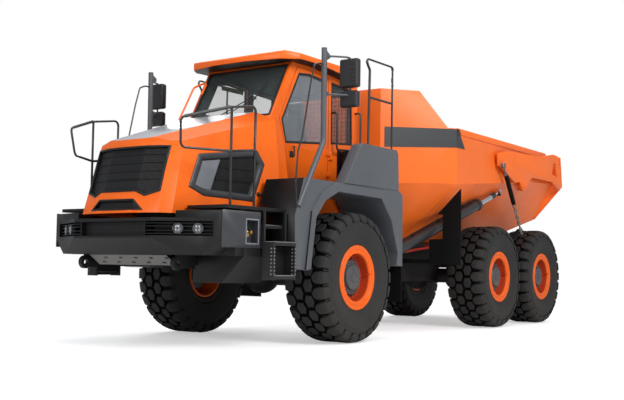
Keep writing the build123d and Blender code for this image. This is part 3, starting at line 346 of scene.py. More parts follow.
def tube(points, radius, sides=10, bend=0.0):
    """Round bar along straight runs; each corner is eased over about the bend, where one is given."""
    path = [Vector(p) for p in points]
    if bend:
        eased = [path[0]]
        for a, b, c in zip(path, path[1:], path[2:]):
            u, w = (a - b).normalized(), (c - b).normalized()
            half = u.angle(w) / 2
            cut = min(bend / tan(half), 0.45 * min((a - b).length, (c - b).length))
            start, end = b + u * cut, b + w * cut
            eased += [(1 - t) ** 2 * start + 2 * t * (1 - t) * b + t * t * end for t in [k / 6 for k in range(7)]]
        path = eased + [path[-1]]
    verts = []
    side = (path[1] - path[0]).orthogonal().normalized()
    for i, p in enumerate(path):
        ahead = (path[min(i + 1, len(path) - 1)] - path[max(i - 1, 0)]).normalized()
        side = (side - ahead * side.dot(ahead)).normalized()
        up = ahead.cross(side)
        verts += [p + (side * cos(a) + up * sin(a)) * radius for a in angles(sides)]
    return verts, skin(len(path), sides) + ends(len(path), sides)


def bar(points, radius, sides=10, bend=0.0):
    """A tube through points given by station, width and height."""
    return tube([(st(x), y, z) for x, y, z in points], radius, sides, bend)


def turned(profile, place, direction, segments=20):
    """Turned part: (radius, distance along) points from place along a direction, ends closed."""
    shape = lathe([(max(r, 0.0004), w) for r, w in profile], segments, closed=False)
    n = len(profile)
    caps = [tuple(range(0, segments * n, n)), tuple(range(segments * n - 1, 0, -n))]
    turn = Vector((0, 1, 0)).rotation_difference(Vector(direction)).to_matrix().to_4x4()
    return moved((shape[0], shape[1] + caps), Matrix.Translation(place) @ turn)


def bolt_head(place, radius, height):
    profile = [(0.0, 0), (radius, 0), (radius, height * 0.7), (radius * 0.8, height), (0.0, height)]
    return turned(profile, place, (0, 1, 0), 6)


def piece(name, shape, mat, body="front_chassis", bevel=0.0, segments=2, angle=30, smooth=True):
    """Makes one piece of the visual model from a shape, with its edges rounded."""
    mesh = bpy.data.meshes.new(name)
    mesh.from_pydata([tuple(v) for v in shape[0]], [], shape[1])
    bm = bmesh.new()
    bm.from_mesh(mesh)
    bmesh.ops.remove_doubles(bm, verts=bm.verts, dist=0.00002)
    bmesh.ops.recalc_face_normals(bm, faces=bm.faces)
    written(bm, mesh, smooth)
    o = add_object(name, mesh, mat, body)
    if bevel > 0:
        rounded(o, bevel, segments, angle)
    elif smooth:
        mesh.set_sharp_from_angle(angle=radians(angle))
    return o


def paint_faces(o, mat, test):
    """Faces of a piece that pass the test take a second material."""
    o.data.materials.append(mat)
    index = len(o.data.materials) - 1
    for p in o.data.polygons:
        if test(p):
            p.material_index = index


# ---- CAD nodes that stay or are softened
SOFT = [
    ("bumper", BUMPER_GREY, 0.012), ("fender_left", GREY, 0.012), ("fender_right", GREY, 0.012),
    ("side_boxes", BOX_GREY, 0.008), ("walkways", BUMPER_GREY, 0.005), ("cab_shell", ORANGE, 0.01),
    ("cab_roof", ORANGE, 0.02), ("cab_door", ORANGE, 0.006, "door"), ("dump_bed", ORANGE_BED, 0.008, "bed"),
    ("tailgate", ORANGE_BED, 0.006, "tailgate"), ("bonnet", ORANGE, 0.012, "bonnet"),
    ("access_steps", FRAME_GREY, 0.004, "front_chassis", "dark_grey_paint"), ("front_frame", FRAME_GREY, 0.006),
    ("rear_frame", FRAME_GREY, 0.006, "rear_chassis"), ("steering_yoke", FRAME_GREY, 0.006),
    ("hitch", FRAME_GREY, 0.006, "hitch"), ("mudguards", FLAP, 0.003, "rear_chassis"),
]
for row in SOFT:
    softened(*row)

KEPT = {
    CAST: "engine_block", FRAME_GREY: "axle_front axle_mid axle_rear walking_beams", LAMP: "head_lamps",
    RED: "tail_lamps", BLACK: "tow_eyes mirrors gate_chain_left gate_chain_right", FLAP: "mudflaps",
    GLASS: "cab_glass", GLASS_DOOR_SHEEN: "door_glass", FABRIC: "operator_seat", CABIN: "steering_console",
    GRILLE: "bonnet_grilles", CYLINDER: "hoist_barrel_left hoist_barrel_right steer_barrel_left steer_barrel_right",
    CHROME: "hoist_rod_left hoist_rod_right steer_rod_left steer_rod_right",
}
for mat, names in KEPT.items():
    for name in names.split():
        give(name, mat)
SIDES = (("left", 1), ("right", -1))
WHEELS = [(axle, *side) for axle in ("front", "mid", "rear") for side in SIDES]
for axle, hand, side in WHEELS:
    give(f"tyre_{axle}_{hand}", RUBBER)
    give(f"rim_{axle}_{hand}", ORANGE_DEEP)

RAIL_DRAW_IN = 0.006  # the rails are shown this much thinner than the CAD's bars


def draw_in(bm):
    """Moves each side in along its normal; a bar's flat ends stay where they stand."""
    bm.normal_update()
    shifts = {}
    for v in bm.verts:
        shift = -v.normal * RAIL_DRAW_IN
        for f in v.link_faces:
            if len(f.verts) > 6:
                shift -= f.normal * shift.dot(f.normal)
        shifts[v] = shift
    for v, shift in shifts.items():
        v.co += shift


thin = edited_copy("handrails", "_thin", 0.5, draw_in)
rails = add_object("handrails_thin", thin, RAIL)
thin.set_sharp_from_angle(angle=radians(40))
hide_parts("handrails")

# ---- wheels
TYRE_R, TRACK_HALF = 0.805, 1.22
AXLE_X = {"front": 0, "mid": -4.26, "rear": -6.05}
PITCHES = 26  # lugs of one row round the tyre
LUG_FOOT = 0.044  # depth of the tread grooves
SIDEWALL_R = 0.7  # beyond it the carcass is the grooves' floor
LUG_FACE_R, CENTRE_HALF = TYRE_R - 0.016, 0.15  # below the one, within the other: walls of the centre blocks
# the disc within these bounds is painted darker, as painted shade
DISH_R, DISH_Y = 0.29, 0.1  # the rim's dished disc, on its outer side


def tyre_carcass():
    floor = TYRE_R - LUG_FOOT
    half = [(0.326, 0.222), (0.345, 0.238), (0.392, 0.243), (0.402, 0.256), (0.418, 0.266), (0.43, 0.262),
            (0.44, 0.264), (0.475, 0.276), (0.53, 0.293), (0.575, 0.3025), (0.612, 0.3035), (0.616, 0.3055),
            (0.626, 0.3055), (0.63, 0.302), (0.655, 0.299), (0.69, 0.292), (0.72, 0.277), (0.738, 0.258), (0.75, 0.232),
            (floor - 0.002, 0.185), (floor, 0.12), (floor + 0.001, 0)]
    mirrored = [(r, -w) for r, w in reversed(half[:-1])]
    return lathe(half + mirrored + [(0.322, -0.18), (0.322, 0.18)], 96)


def around(y, r, s):
    """Point of the tread: width y, radius r, distance s round the tyre from its top."""
    a = s / TYRE_R
    return (r * sin(a), y, r * cos(a))


def hex_block(y0, s0):
    """Centre block: a hexagon with its points to the sides, and a bevelled top."""
    wide, flat, length = 0.065, 0.039, 0.0745
    ring = [(wide, 0), (flat, length), (-flat, length), (-wide, 0), (-flat, -length), (flat, -length)]
    verts = []
    for grow, r in ((1.1, TYRE_R - LUG_FOOT - 0.004), (1.0, TYRE_R - 0.007), (0.9, TYRE_R - 0.0012)):
        verts += [around(y0 + y * grow, r, s0 + s * grow) for y, s in ring]
    verts.append(around(y0, TYRE_R - 0.0005, s0))
    return verts, skin(3, 6) + [(12 + i, 12 + (i + 1) % 6, 18) for i in range(6)]


# outer lug's columns: width, radius of its face, radius of its foot, half length round the tyre
SHOULDER = [(0.132, 0.8035, 0.758, 0.02), (0.154, 0.8045, 0.758, 0.056), (0.18, 0.804, 0.756, 0.07),
            (0.215, 0.7985, 0.752, 0.073), (0.25, 0.79, 0.742, 0.073), (0.278, 0.774, 0.726, 0.072),
            (0.296, 0.745, 0.712, 0.068), (0.3025, 0.705, 0.694, 0.058)]


def shoulder_lug(side, s0):
    """Outer lug, which wraps down over the shoulder."""
    across = [(-1.1, 0), (-1.0, 0.8), (-0.9, 1.0), (0, 1.0), (0.9, 1.0), (1.0, 0.8), (1.1, 0)]
    verts = [around(side * y, r_foot - 0.003 + (r_top - r_foot + 0.003) * rise, s0 + half * share)
             for y, r_top, r_foot, half in SHOULDER for share, rise in across]
    rings, n = len(SHOULDER), len(across)
    return verts, skin(rings, n, around=False) + ends(rings, n)


RIB = ((0.262, 0.752), (0.296, 0.7), (0.29, 0.7))  # small rib between two outer lugs: width, radius


def tyre_shape():
    pitch = 2 * pi * TYRE_R / PITCHES
    lugs = [CARCASS]
    for k in range(PITCHES):
        s = k * pitch
        lugs += [hex_block(0.0705, s), hex_block(-0.0705, s + pitch / 2), shoulder_lug(1, s + pitch / 2),
                 shoulder_lug(-1, s)]
        for side, shift in ((1, 0), (-1, pitch / 2)):
            rib = [around(side * y, r, s + shift + d) for y, r in RIB for d in (-0.008, 0.008)]
            lugs.append((rib, [(0, 2, 3, 1), (2, 4, 5, 3), (0, 4, 2), (1, 3, 5)]))
    return join(*lugs)


# rim from its flange in to the disc; the outer side is towards +Y
RIM_PROFILE = [(0.292, -0.23), (0.318, -0.23), (0.318, 0.222), (0.33, 0.236), (0.392, 0.2445), (0.4, 0.25),
               (0.4005, 0.26), (0.394, 0.2665), (0.384, 0.266), (0.374, 0.259), (0.352, 0.256), (0.346, 0.25),
               (0.34, 0.2495), (0.335, 0.256), (0.302, 0.258), (0.296, 0.252), (0.292, 0.236), (0.288, 0.2),
               (0.284, 0.165), (0.274, 0.136), (0.262, 0.13), (0.15, 0.13), (0.15, 0.096), (0.262, 0.096),
               (0.292, 0.06)]
HUB_PROFILE = [(0.0004, 0.214), (0.045, 0.216), (0.05, 0.222), (0.058, 0.222), (0.062, 0.214), (0.118, 0.21),
               (0.15, 0.206), (0.158, 0.198), (0.162, 0.176), (0.206, 0.172), (0.214, 0.164), (0.216, 0.15),
               (0.216, 0.13), (0.0004, 0.13)]
HUB_BACK = [(0.1, 0.096), (0.205, 0.096), (0.21, 0.06), (0.208, -0.06), (0.196, -0.074), (0.1, -0.074)]


def rim_shape():
    ring = lathe(RIM_PROFILE, 72)
    lock = block(-0.012, 0.012, 0.25, 0.262, 0.338, 0.372)  # end of the lock ring
    valve = tube([(0, 0.19, 0.27), (0, 0.232, 0.262), (0, 0.262, 0.3)], 0.007, 8)
    return join(ring, moved(join(lock, valve), Matrix.Rotation(radians(-82), 4, "Y")))


def hub_shape():
    parts = [lathe(HUB_PROFILE, closed=False), lathe(HUB_BACK)]
    for count, radius, y, size in ((24, 0.237, 0.13, 0.014), (20, 0.186, 0.171, 0.01)):
        for a in angles(count):
            parts.append(bolt_head((radius * sin(a), y, radius * cos(a)), size, size * 1.3))
    parts.append(bolt_head((0, 0.208, 0.1), 0.013, 0.01))
    return join(*parts)


CARCASS = tyre_carcass()
TYRE_SHAPE, RIM_SHAPE, HUB_SHAPE = tyre_shape(), rim_shape(), hub_shape()
for axle, hand, side in WHEELS:
    spot = Matrix.Translation((st(AXLE_X[axle]), side * TRACK_HALF, TYRE_R))
    if side < 0:
        spot = spot @ Matrix.Rotation(pi, 4, "Z")
    body = f"wheel_{axle}_{hand}"
    tyre = piece(f"tyre_{axle}_{hand}_treaded", moved(TYRE_SHAPE, spot), RUBBER, body, angle=28)
    rim = piece(f"rim_{axle}_{hand}_ring", moved(RIM_SHAPE, spot), ORANGE_DEEP, body, angle=35)
    piece(f"rim_{axle}_{hand}_hub", moved(HUB_SHAPE, spot), HUB_GREY, body, angle=35)

    def in_wheel(p, back=spot.inverted()):
        """A face's distance from the wheel's axis, and its place along it."""
        c = back @ p.center
        return hypot(c.x, c.z), c.y

    # painted shade: groove floors and block walls take the near-black rubber
    def in_shaded_groove(p):
        r, y = in_wheel(p)
        return r > SIDEWALL_R and p.index < len(CARCASS[1]) or r < LUG_FACE_R and abs(y) < CENTRE_HALF

    # painted shade: the dished disc's faces take the darker orange
    def in_shaded_dish(p):
        r, y = in_wheel(p)
        return r < DISH_R and y > DISH_Y

    paint_faces(tyre, GROOVE_SHADE, in_shaded_groove)
    paint_faces(rim, ORANGE_DISH_SHADE, in_shaded_dish)
    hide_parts(f"tyre_{axle}_{hand}")
    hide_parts(f"rim_{axle}_{hand}")

# ---- bonnet
def blend_at(t, a, b):
    return a + (b - a) * t


def hood_share(z):
    return (z - 1.489) / (2.94 - 1.489)


def hood_corner(t):
    """Station and half width of the bonnet's front corner."""
    return blend_at(t, 2.47, 2.09), blend_at(t, 0.68, 0.6)


def nose_x(y, z):
    """Station of the bonnet's nose at a width and height."""
    t = hood_share(z)
    side = hood_corner(t)
    nose = (blend_at(t, 2.59, 2.198), blend_at(t, 0.59, 0.5))
    centre = blend_at(t, 2.68, 2.29)
    w = abs(y)
    if w <= 0.25:
        return centre
    if w <= nose[1]:
        return blend_at((w - 0.25) / (nose[1] - 0.25), centre, nose[0])
    return blend_at((w - nose[1]) / (side[1] - nose[1]), nose[0], side[0])


def side_y(x, z):
    """Half width of the bonnet's side wall at a station and height."""
    t = hood_share(z)
    rear, corner = blend_at(t, 0.702, 0.943), hood_corner(t)
    return blend_at((x - rear) / (corner[0] - rear), 0.85, corner[1])


def draped_frame(outline, rings, place, steps=6):
    """Moulded frame laid on a surface: rings of (inset, height) along the outline, placed by place(a, b, height)."""
    verts = []
    for inset, height in rings:
        ring = shrink(outline, inset)
        for p, q in zip(ring, ring[1:] + ring[:1]):
            verts += [place(blend_at(k / steps, p[0], q[0]), blend_at(k / steps, p[1], q[1]), height)
                      for k in range(steps)]
    return verts, skin(len(rings), len(outline) * steps)


INTAKE = [(2.183, 1.809), (2.04, 2.144), (1.19, 2.262), (1.087, 2.128), (1.25, 1.713), (1.999, 1.734)]
GRILLE_OUTLINE = [(-0.545, 2.228), (0.545, 2.228), (0.552, 1.734), (0.387, 1.684), (0.27, 1.735), (-0.27, 1.735),
                  (-0.387, 1.684), (-0.552, 1.734)]
LOWER_OUTLINE = [(-0.26, 1.631), (0.26, 1.631), (0.375, 1.529), (-0.375, 1.529)]
THIN_FRAME = [(-0.012, -0.004), (-0.012, 0.006), (-0.004, 0.01), (0.01, 0.008), (0.016, -0.004), (0.018, -0.026)]
WIDE_FRAME = [(-0.03, -0.004), (-0.03, 0.008), (-0.018, 0.016), (0.026, 0.014), (0.04, 0.002), (0.052, -0.024)]


def on_nose(y, z, h):
    return (st(nose_x(y, z) + h), y, z)


def on_side(x, z, h):
    return (st(x), side_y(x, z) + h, z)


grille_frames = [draped_frame(outline, THIN_FRAME, on_nose, 8) for outline in (GRILLE_OUTLINE, LOWER_OUTLINE)]
piece("bonnet_grille_frame", join(*grille_frames), BLACK, "bonnet", angle=40)
piece("bonnet_intake_frames", both(draped_frame(INTAKE, WIDE_FRAME, on_side)), BOX_GREY, "bonnet", angle=40)


def grille_bars():
    widths = (-0.535, -0.25, 0.25, 0.535)
    return join(*[tube([on_nose(y, z, -0.014) for y in ends], 0.0035, 6) for z in (1.865, 1.958, 2.05, 2.142)
                  for ends in zip(widths, widths[1:])])


piece("bonnet_grille_bars", grille_bars(), BLACK, "bonnet")


def intake_panels():
    """Blanking panel in the front of each side intake, its edge eased."""
    plate = [(2.12, 1.8), (1.995, 2.095), (1.735, 2.135), (1.89, 1.775)]
    rim = draped_frame(plate, [(0, -0.021), (0, -0.01), (0.014, -0.007)], on_side, 1)
    return join(rim, ([on_side(x, z, -0.007) for x, z in shrink(plate, 0.014)], [(0, 1, 2, 3)]))


def intake_bars():
    shapes = []
    for z, x0, x1 in ((2.07, 1.735, 1.15), (1.925, 1.8, 1.19)):
        (ax, ay), (bx, by) = on_side(x0, z, -0.016)[:2], on_side(x1, z, -0.016)[:2]
        shapes.append(prism([(ax, ay), (bx, by), (bx, by - 0.006), (ax, ay - 0.006)], z - 0.024, z + 0.024, "z"))
    return join(*shapes)


piece("bonnet_intake_panels", both(intake_panels()), GREY_LIGHT, "bonnet", angle=30)
piece("bonnet_intake_bars", both(intake_bars()), BLACK, "bonnet")

LATCH = [(1.15, 1.775, 0.004), (1.145, 1.775, 0.03), (1.03, 1.752, 0.03), (1.022, 1.75, 0.01)]
LATCH_BOSS = [(0, 0), (0.026, 0), (0.026, 0.01), (0.02, 0.014), (0, 0.014)]
latch = join(tube([on_side(*p) for p in LATCH], 0.011, bend=0.012),
             turned(LATCH_BOSS, on_side(1.15, 1.775, 0), (0, 1, 0)))
piece("bonnet_latches", both(latch), PLASTIC, "bonnet")

# ---- bumper, lamps, belly plate, service window
FIN_OUTER = [(2.684, 0.5), (2.684, 0.594), (2.426, 1.07), (2.376, 1.19)]
FIN_INNER = [(2.318, 1.17), (2.362, 1.05), (2.598, 0.556), (2.598, 0.5)]
FIN_PLAN = [(st(x), y) for x, y in FIN_OUTER + FIN_INNER]
fins = join(*[prism(FIN_PLAN, z - 0.005, z + 0.005, "z") for z in (1.262, 1.296, 1.342, 1.374)])
cheek = slab(2.592, 2.69, 0.486, 0.502, 1.243, 1.394)
piece("bumper_fins", both(join(fins, cheek)), BUMPER_GREY, bevel=0.002)
piece("bumper_slot_panel", slab(2.6, 2.628, -0.486, 0.486, 1.244, 1.393), GRILLE, bevel=0.003)
LAMPS = ((2.548, 0.838, (0.86, 0.42, 0)), (2.446, 1.035, (0.82, 0.5, 0)))
LAMP_Z = 1.319
BEZEL = [(0.03, 0), (0.05, 0.015), (0.057, 0.06), (0.058, 0.072), (0.054, 0.076), (0.049, 0.074), (0.048, 0.066),
         (0, 0.06)]
LENS = [(0.047, 0), (0.047, 0.004), (0.038, 0.01), (0.02, 0.014), (0, 0.015)]
EMITTERS = [(0.013, 0), (0.01, 0.004), (0, 0.006)]


def lamp_shape(profile, forward, segments, spread=0.0):
    """One turned part of each lamp, or four of them set off its axis by the spread."""
    shapes = []
    for x, y, aim in LAMPS:
        foot = Vector((st(x), y, LAMP_Z)) + Vector(aim) * (forward - 0.075)
        side = Vector((-aim[1], aim[0], 0)) * spread
        for a, b in ((1, 1), (1, -1), (-1, 1), (-1, -1)) if spread else ((0, 0),):
            shapes.append(turned(profile, foot + side * a + Vector((0, 0, spread * b)), aim, segments))
    return both(join(*shapes))


piece("head_lamp_bezels", lamp_shape(BEZEL, 0, 36), GREY)
lenses = piece("head_lamp_lenses", lamp_shape(LENS, 0.066, 36), LAMP)
piece("head_lamp_emitters", lamp_shape(EMITTERS, 0.0765, 12, 0.017), EMITTER)
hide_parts("head_lamps")

BELLY = [(2.462, 1.036), (2.3, 0.925), (2.292, 0.925), (2.292, 0.937), (2.454, 1.036)]


def belly_slots():
    """Oval openings in the belly plate, as dark inlays on its slope, painted black as painted shade of the space
    behind.
    """
    (x0, z0), (x1, z1) = BELLY[:2]
    slope = Vector((x1 - x0, 0, z1 - z0)).normalized()
    shapes = []
    for share, offset in ((0.28, 0.1), (0.72, 0)):
        for k in range(-2, 3):
            centre = Vector((st(x0) + 0.002, k * 0.235 + offset, z0 - 0.002)) + slope * 0.196 * share
            ring = [centre + Vector((0, 0.03 * cos(a), 0)) + slope * 0.015 * sin(a) for a in angles(16)]
            shapes.append((ring, [tuple(range(16))]))
    return join(*shapes)


piece("belly_plate", prism([(st(x), z) for x, z in BELLY], -0.6, 0.6), STEEL_DULL, bevel=0.002)
piece("belly_plate_slots", belly_slots(), BLACK)

COUPLER = [(1.0, 0), (1.0, 0.02), (0.7, 0.024), (0.7, 0.045), (0.9, 0.05), (0.9, 0.062), (0, 0.064)]


def couplers():
    """Fittings behind the side box's window."""
    return join(*[turned([(share * r, w) for share, w in COUPLER], (st(x), 1.201, z), (0, 1, 0), 24)
                  for x, z, r in ((1.925, 1.345, 0.02), (1.895, 1.27, 0.026), (1.83, 1.3, 0.022))])


piece("service_couplers", both(couplers()), BRASS)
hose = bar([(1.925, 1.235, 1.345), (1.88, 1.25, 1.365), (1.84, 1.24, 1.335), (1.83, 1.225, 1.3)], 0.008, 8, bend=0.02)
piece("service_pipe", both(hose), BLACK)
window_frame = ring_plate(rect(st(1.744), st(1.976), 1.164, 1.446), rect(st(1.762), st(1.958), 1.182, 1.428), 1.296,
                          1.303)
piece("service_window_frame", both(window_frame), GREY_LIGHT, bevel=0.002)

# ---- steps: studs, grip plates, mesh
STUD = [(0.01, 0), (0.01, 0.004), (0.006, 0.008), (0, 0.008)]


def step_trim():
    studs = []
    for x in (1.302, 1.688):
        for z in [0.845 + k * 0.04 for k in range(8)]:
            studs += [turned(STUD, (st(x), 1.474, z), (0, 1, 0), 8),
                      turned(STUD, (st(x + 0.012), 1.44, z), (1, 0, 0), 8)]
    return join(*studs)


GRIP_RIBS = 5  # ribs across one tread


def grip_tread(z, y0, y1):
    ribs = [slab(1.3, 1.69, y0, y1, z, z + 0.004)]
    for y in [y0 + (y1 - y0) * (k + 0.5) / GRIP_RIBS for k in range(GRIP_RIBS)]:
        ribs.append(slab(1.305, 1.685, y - 0.006, y + 0.006, z + 0.003, z + 0.01))
    return join(*ribs)


piece("step_studs", both(step_trim()), STEEL_DULL)
TREADS = ((1.195, 1.306, 1.478), (0.825, 1.332, 1.478), (1.385, 1.004, 1.288))
piece("step_grips", both(join(*[grip_tread(*row) for row in TREADS])), STEEL, bevel=0.0015)
piece("step_mesh", both(slab(1.318, 1.674, 1.322, 1.328, 0.83, 1.155)), GRILLE)

# ---- bed, hoists, gate chains, pipes
def corner_y(x):
    """Half width of the body's slanting front wall at a station."""
    return 0.7 + (-1.82 - x) * 0.75 / 0.955


BAND_PROUD = 0.003
RIM_FOOT, RIM_OUT = 2.917, 0.018
BAND_WALL = ((-3.056, 1.446, 2.72), (-2.889, 1.448, RIM_FOOT), (-2.774, 1.45, RIM_FOOT), (-2.774, 1.45, 2.72))
BAND_RIM = ((-2.889, 1.448, RIM_FOOT), (-2.827, 1.449, 2.99), (-2.779, 1.45, 2.998), (-2.779, 1.45, RIM_FOOT))


def bed_band():
    """Film round each front corner of the body; behind the corner its upper part lies over the rim."""
    nx, ny = Vector((0.75, 0.955)).normalized() * BAND_PROUD
    front = [(st(-1.87 + nx), corner_y(-1.87) + ny, z) for z in (2.677, 2.971)]
    knuckle = [(st(-2.775 + nx), 1.45 + ny, z) for z in (2.72, 2.998)]
    wall = [(st(x), y + BAND_PROUD, z) for x, y, z in BAND_WALL]
    rim = [(st(x), y + RIM_OUT + BAND_PROUD, z) for x, y, z in BAND_RIM]
    step = [(st(-2.772), y, z) for y, z in rect(1.452, 1.471, RIM_FOOT, 2.998)]
    return join((front + knuckle, [(0, 2, 3, 1)]), *[(part, [(0, 1, 2, 3)]) for part in (wall, rim, step)])


band = piece("bed_band", both(bed_band()), BAND, "bed", smooth=False)
solid = band.modifiers.new("thickness", "SOLIDIFY")
solid.thickness = 0.003
solid.offset = -1


def hoist_line(side):
    """A hoist's lower and upper pivots at rest, and the direction from one to the other."""
    low, high = Vector((st(-1.96), side * 0.74, 1.09)), Vector((st(-4.446), side * 1.377, 2.17))
    return low, high, (high - low).normalized()


def hoist_pipes(side):
    """Hydraulic pipe with its clamps along a hoist's barrel."""
    low, high, axis = hoist_line(side)
    above = Vector((axis.z, 0, -axis.x)).normalized()

    def spot(share, off):
        return low + (high - low) * share + above * off

    parts = [tube([spot(0.08, 0.07), spot(0.1, 0.104), spot(0.74, 0.104), spot(0.755, 0.07)], 0.013, 8, bend=0.03)]
    clamp = [(0, -0.018), (0.024, -0.018), (0.024, 0.018), (0, 0.018)]
    parts += [turned(clamp, spot(share, 0.098), axis, 10) for share in (0.22, 0.44, 0.66)]
    parts.append(turned([(0.082, -0.012), (0.09, -0.008), (0.09, 0.008), (0.082, 0.012)], spot(0.06, 0), axis, 36))
    return join(*parts)


def chain_link(centre, axis, twist, length=0.088, width=0.06, wire=0.0115):
    """One stadium-shaped link."""
    side = Matrix.Rotation(twist, 3, axis) @ axis.orthogonal().normalized()
    straight, r = (length - width) / 2, width / 2 - wire  # half its straight run, radius of its bend
    points = [centre + axis * (cos(a) * r + copysign(straight, cos(a))) + side * sin(a) * r for a in angles(16)]
    normal = axis.cross(side)
    verts = []
    for i, p in enumerate(points):
        out = (points[(i + 1) % 16] - points[i - 1]).normalized().cross(normal)
        verts += [p + (out * cos(b) + normal * sin(b)) * wire for b in angles(8)]
    return verts, skin(16, 8, along=True)


CHAIN_LOW, CHAIN_HIGH = Vector((st(-5.21), 1.45, 1.557)), Vector((st(-4.206), 1.56, 2.614))
CHAIN = CHAIN_HIGH - CHAIN_LOW
CHAIN_AXIS = CHAIN.normalized()
SLEEVE = (0.42, 0.83)  # shares of the chain that the sleeve covers
LINK_PITCH, LINK_START = 0.066, 0.055
SHACKLE = [(0.024, -0.022), (0.044, -0.022), (0.048, -0.016), (0.048, 0.016), (0.044, 0.022), (0.024, 0.022)]


def chain_sleeve():
    n = CHAIN.length * (SLEEVE[1] - SLEEVE[0])
    profile = [(0.02, 0), (0.033, 0.004), (0.036, 0.03), (0.036, n * 0.5), (0.036, n - 0.03), (0.033, n - 0.004),
               (0.02, n)]
    return turned(profile, CHAIN_LOW + CHAIN * SLEEVE[0], CHAIN_AXIS, 20)


def chain_links():
    """The links outside the sleeve, and a shackle at each end."""
    links = []
    for k in range(int((CHAIN.length - 2 * LINK_START) / LINK_PITCH)):
        t = LINK_START + k * LINK_PITCH
        if not SLEEVE[0] * CHAIN.length + 0.02 < t < SLEEVE[1] * CHAIN.length - 0.02:
            links.append(chain_link(CHAIN_LOW + CHAIN_AXIS * t, CHAIN_AXIS, 0 if k % 2 else pi / 2))
    return join(*links, *[turned(SHACKLE, p, (0, 1, 0), 20) for p in (CHAIN_LOW, CHAIN_HIGH - CHAIN_AXIS * 0.045)])


for hand, side in SIDES:
    sleeve, links = (flipped(shape) if side < 0 else shape for shape in (chain_sleeve(), chain_links()))
    piece(f"gate_chain_{hand}_sleeve", sleeve, FLAP, "gate_chains")
    links = piece(f"gate_chain_{hand}_links", links, CHAIN_STEEL, "gate_chains", angle=50)
    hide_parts(f"gate_chain_{hand}")
    piece(f"hoist_pipe_{hand}", hoist_pipes(side), BLACK, f"hoist_barrel_{hand}")

HOIST_EYE = [(0, -0.235), (0.046, -0.235), (0.05, -0.228), (0.05, -0.135), (0.046, -0.128), (0, -0.128)]
for hand, side in SIDES:
    eye, axis = hoist_line(side)[1:]
    piece(f"hoist_head_{hand}", turned(HOIST_EYE, eye, axis, 28), CYLINDER, f"hoist_rod_{hand}")

RED_RUNS = ([(-2.78, 0.47, 1.165), (-2.8, 0.6, 1.178), (-3.543, 0.6, 1.255), (-3.64, 0.47, 1.27)],
            [(-3.18, 0.47, 1.35), (-3.2, 0.6, 1.366), (-3.541, 0.6, 1.436), (-3.64, 0.47, 1.45)])
piece("mudguard_aprons", both(slab(-2.932, -2.918, 0.92, 1.16, 0.985, 1.365)), FLAP, "rear_chassis", bevel=0.002)
piece("frame_pipes", both(join(*[bar(run, 0.02, 12, bend=0.06) for run in RED_RUNS])), PIPE_RED, "rear_chassis")

# ---- cab: seals, wiper, handles, and black slatted plates of painted shade low on its rear sides
CAB_SIDE = 0.69
DOOR_WINDOW = [(-0.42, 2.555), (0.461, 2.475), (0.555, 2.76), (0.2, 3.4), (-0.028, 3.425), (-0.42, 3.4)]
REAR_WINDOW = [(-0.55, 2.575), (-1.065, 2.61), (-1.045, 3.37), (-0.55, 3.4)]


def seal(outline):
    outer, inner = ([(st(x), z) for x, z in shrink(outline, inset)] for inset in (-0.006, 0.022))
    return ring_plate(outer, inner, CAB_SIDE - 0.016, CAB_SIDE + 0.004)


piece("door_window_seal", seal(DOOR_WINDOW), SEAL, "door", bevel=0.003)
piece("side_window_seals", join(flipped(seal(DOOR_WINDOW)), both(seal(REAR_WINDOW))), SEAL, bevel=0.003)
SCREEN_FOOT, SCREEN_HEAD = (0.76, 2.775), (0.362, 3.52)


def on_screen(y, s, h):
    """Point on the windscreen's plane: width y, share s of the way up, h proud of it."""
    run = Vector((SCREEN_HEAD[0] - SCREEN_FOOT[0], 0, SCREEN_HEAD[1] - SCREEN_FOOT[1]))
    normal = Vector((run.z, 0, -run.x)).normalized()
    p = Vector((SCREEN_FOOT[0], y, SCREEN_FOOT[1])) + run * s + normal * h
    return (st(p.x), p.y, p.z)


SCREEN_FRAME = [(-0.016, -0.004), (-0.016, 0.006), (0.01, 0.006), (0.014, -0.02)]
screen = draped_frame(rect(-0.64, 0.64, 0.034, 0.94), SCREEN_FRAME, on_screen, 2)
piece("windscreen_seal", screen, SEAL, angle=40)
back_outer, back_inner = rect(-0.556, 0.556, 2.544, 3.356), rect(-0.53, 0.53, 2.57, 3.33)
piece("rear_screen_seal", ring_plate(back_outer, back_inner, st(-1.204), st(-1.186), "x"), SEAL, bevel=0.003)

GUARD_X, GUARD_PITCH = -1.176, 0.06


def guard_grid():
    """Bars over the cab's rear pane."""
    bars = [[(GUARD_X, y, 2.56), (GUARD_X, y, 3.34)] for y in [-0.51 + GUARD_PITCH * k for k in range(18)]]
    bars += [[(GUARD_X, -0.54, z), (GUARD_X, 0.54, z)] for z in [2.6 + GUARD_PITCH * k for k in range(13)]]
    return join(*[bar(ends, 0.004, 6) for ends in bars])


piece("rear_screen_guard", guard_grid(), BLACK)


WIPER = ((0.007, 8, [(-0.2, 0.03, 0.024), (0.29, 0.37, 0.03)]), (0.006, 8, [(-0.12, 0.03, 0.024), (0.345, 0.33, 0.03)]),
         (0.008, 8, [(0.27, 0.385, 0.032), (0.33, 0.35, 0.034), (0.365, 0.315, 0.032)]),
         (0.009, 6, [(0.25, 0.06, 0.018), (0.33, 0.34, 0.024), (0.43, 0.64, 0.018)]))
WIPER_SHAFT = [(0, -0.02), (0.018, -0.02), (0.018, 0.008), (0.012, 0.014), (0, 0.014)]


def wiper():
    """Two arms, the yoke between them and the blade, and the arms' shafts."""
    runs = [tube([on_screen(*p) for p in points], radius, sides) for radius, sides, points in WIPER]
    return join(*runs, *[turned(WIPER_SHAFT, on_screen(*row[2][0]), (0.88, 0, 0.47), 16) for row in WIPER[:2]])


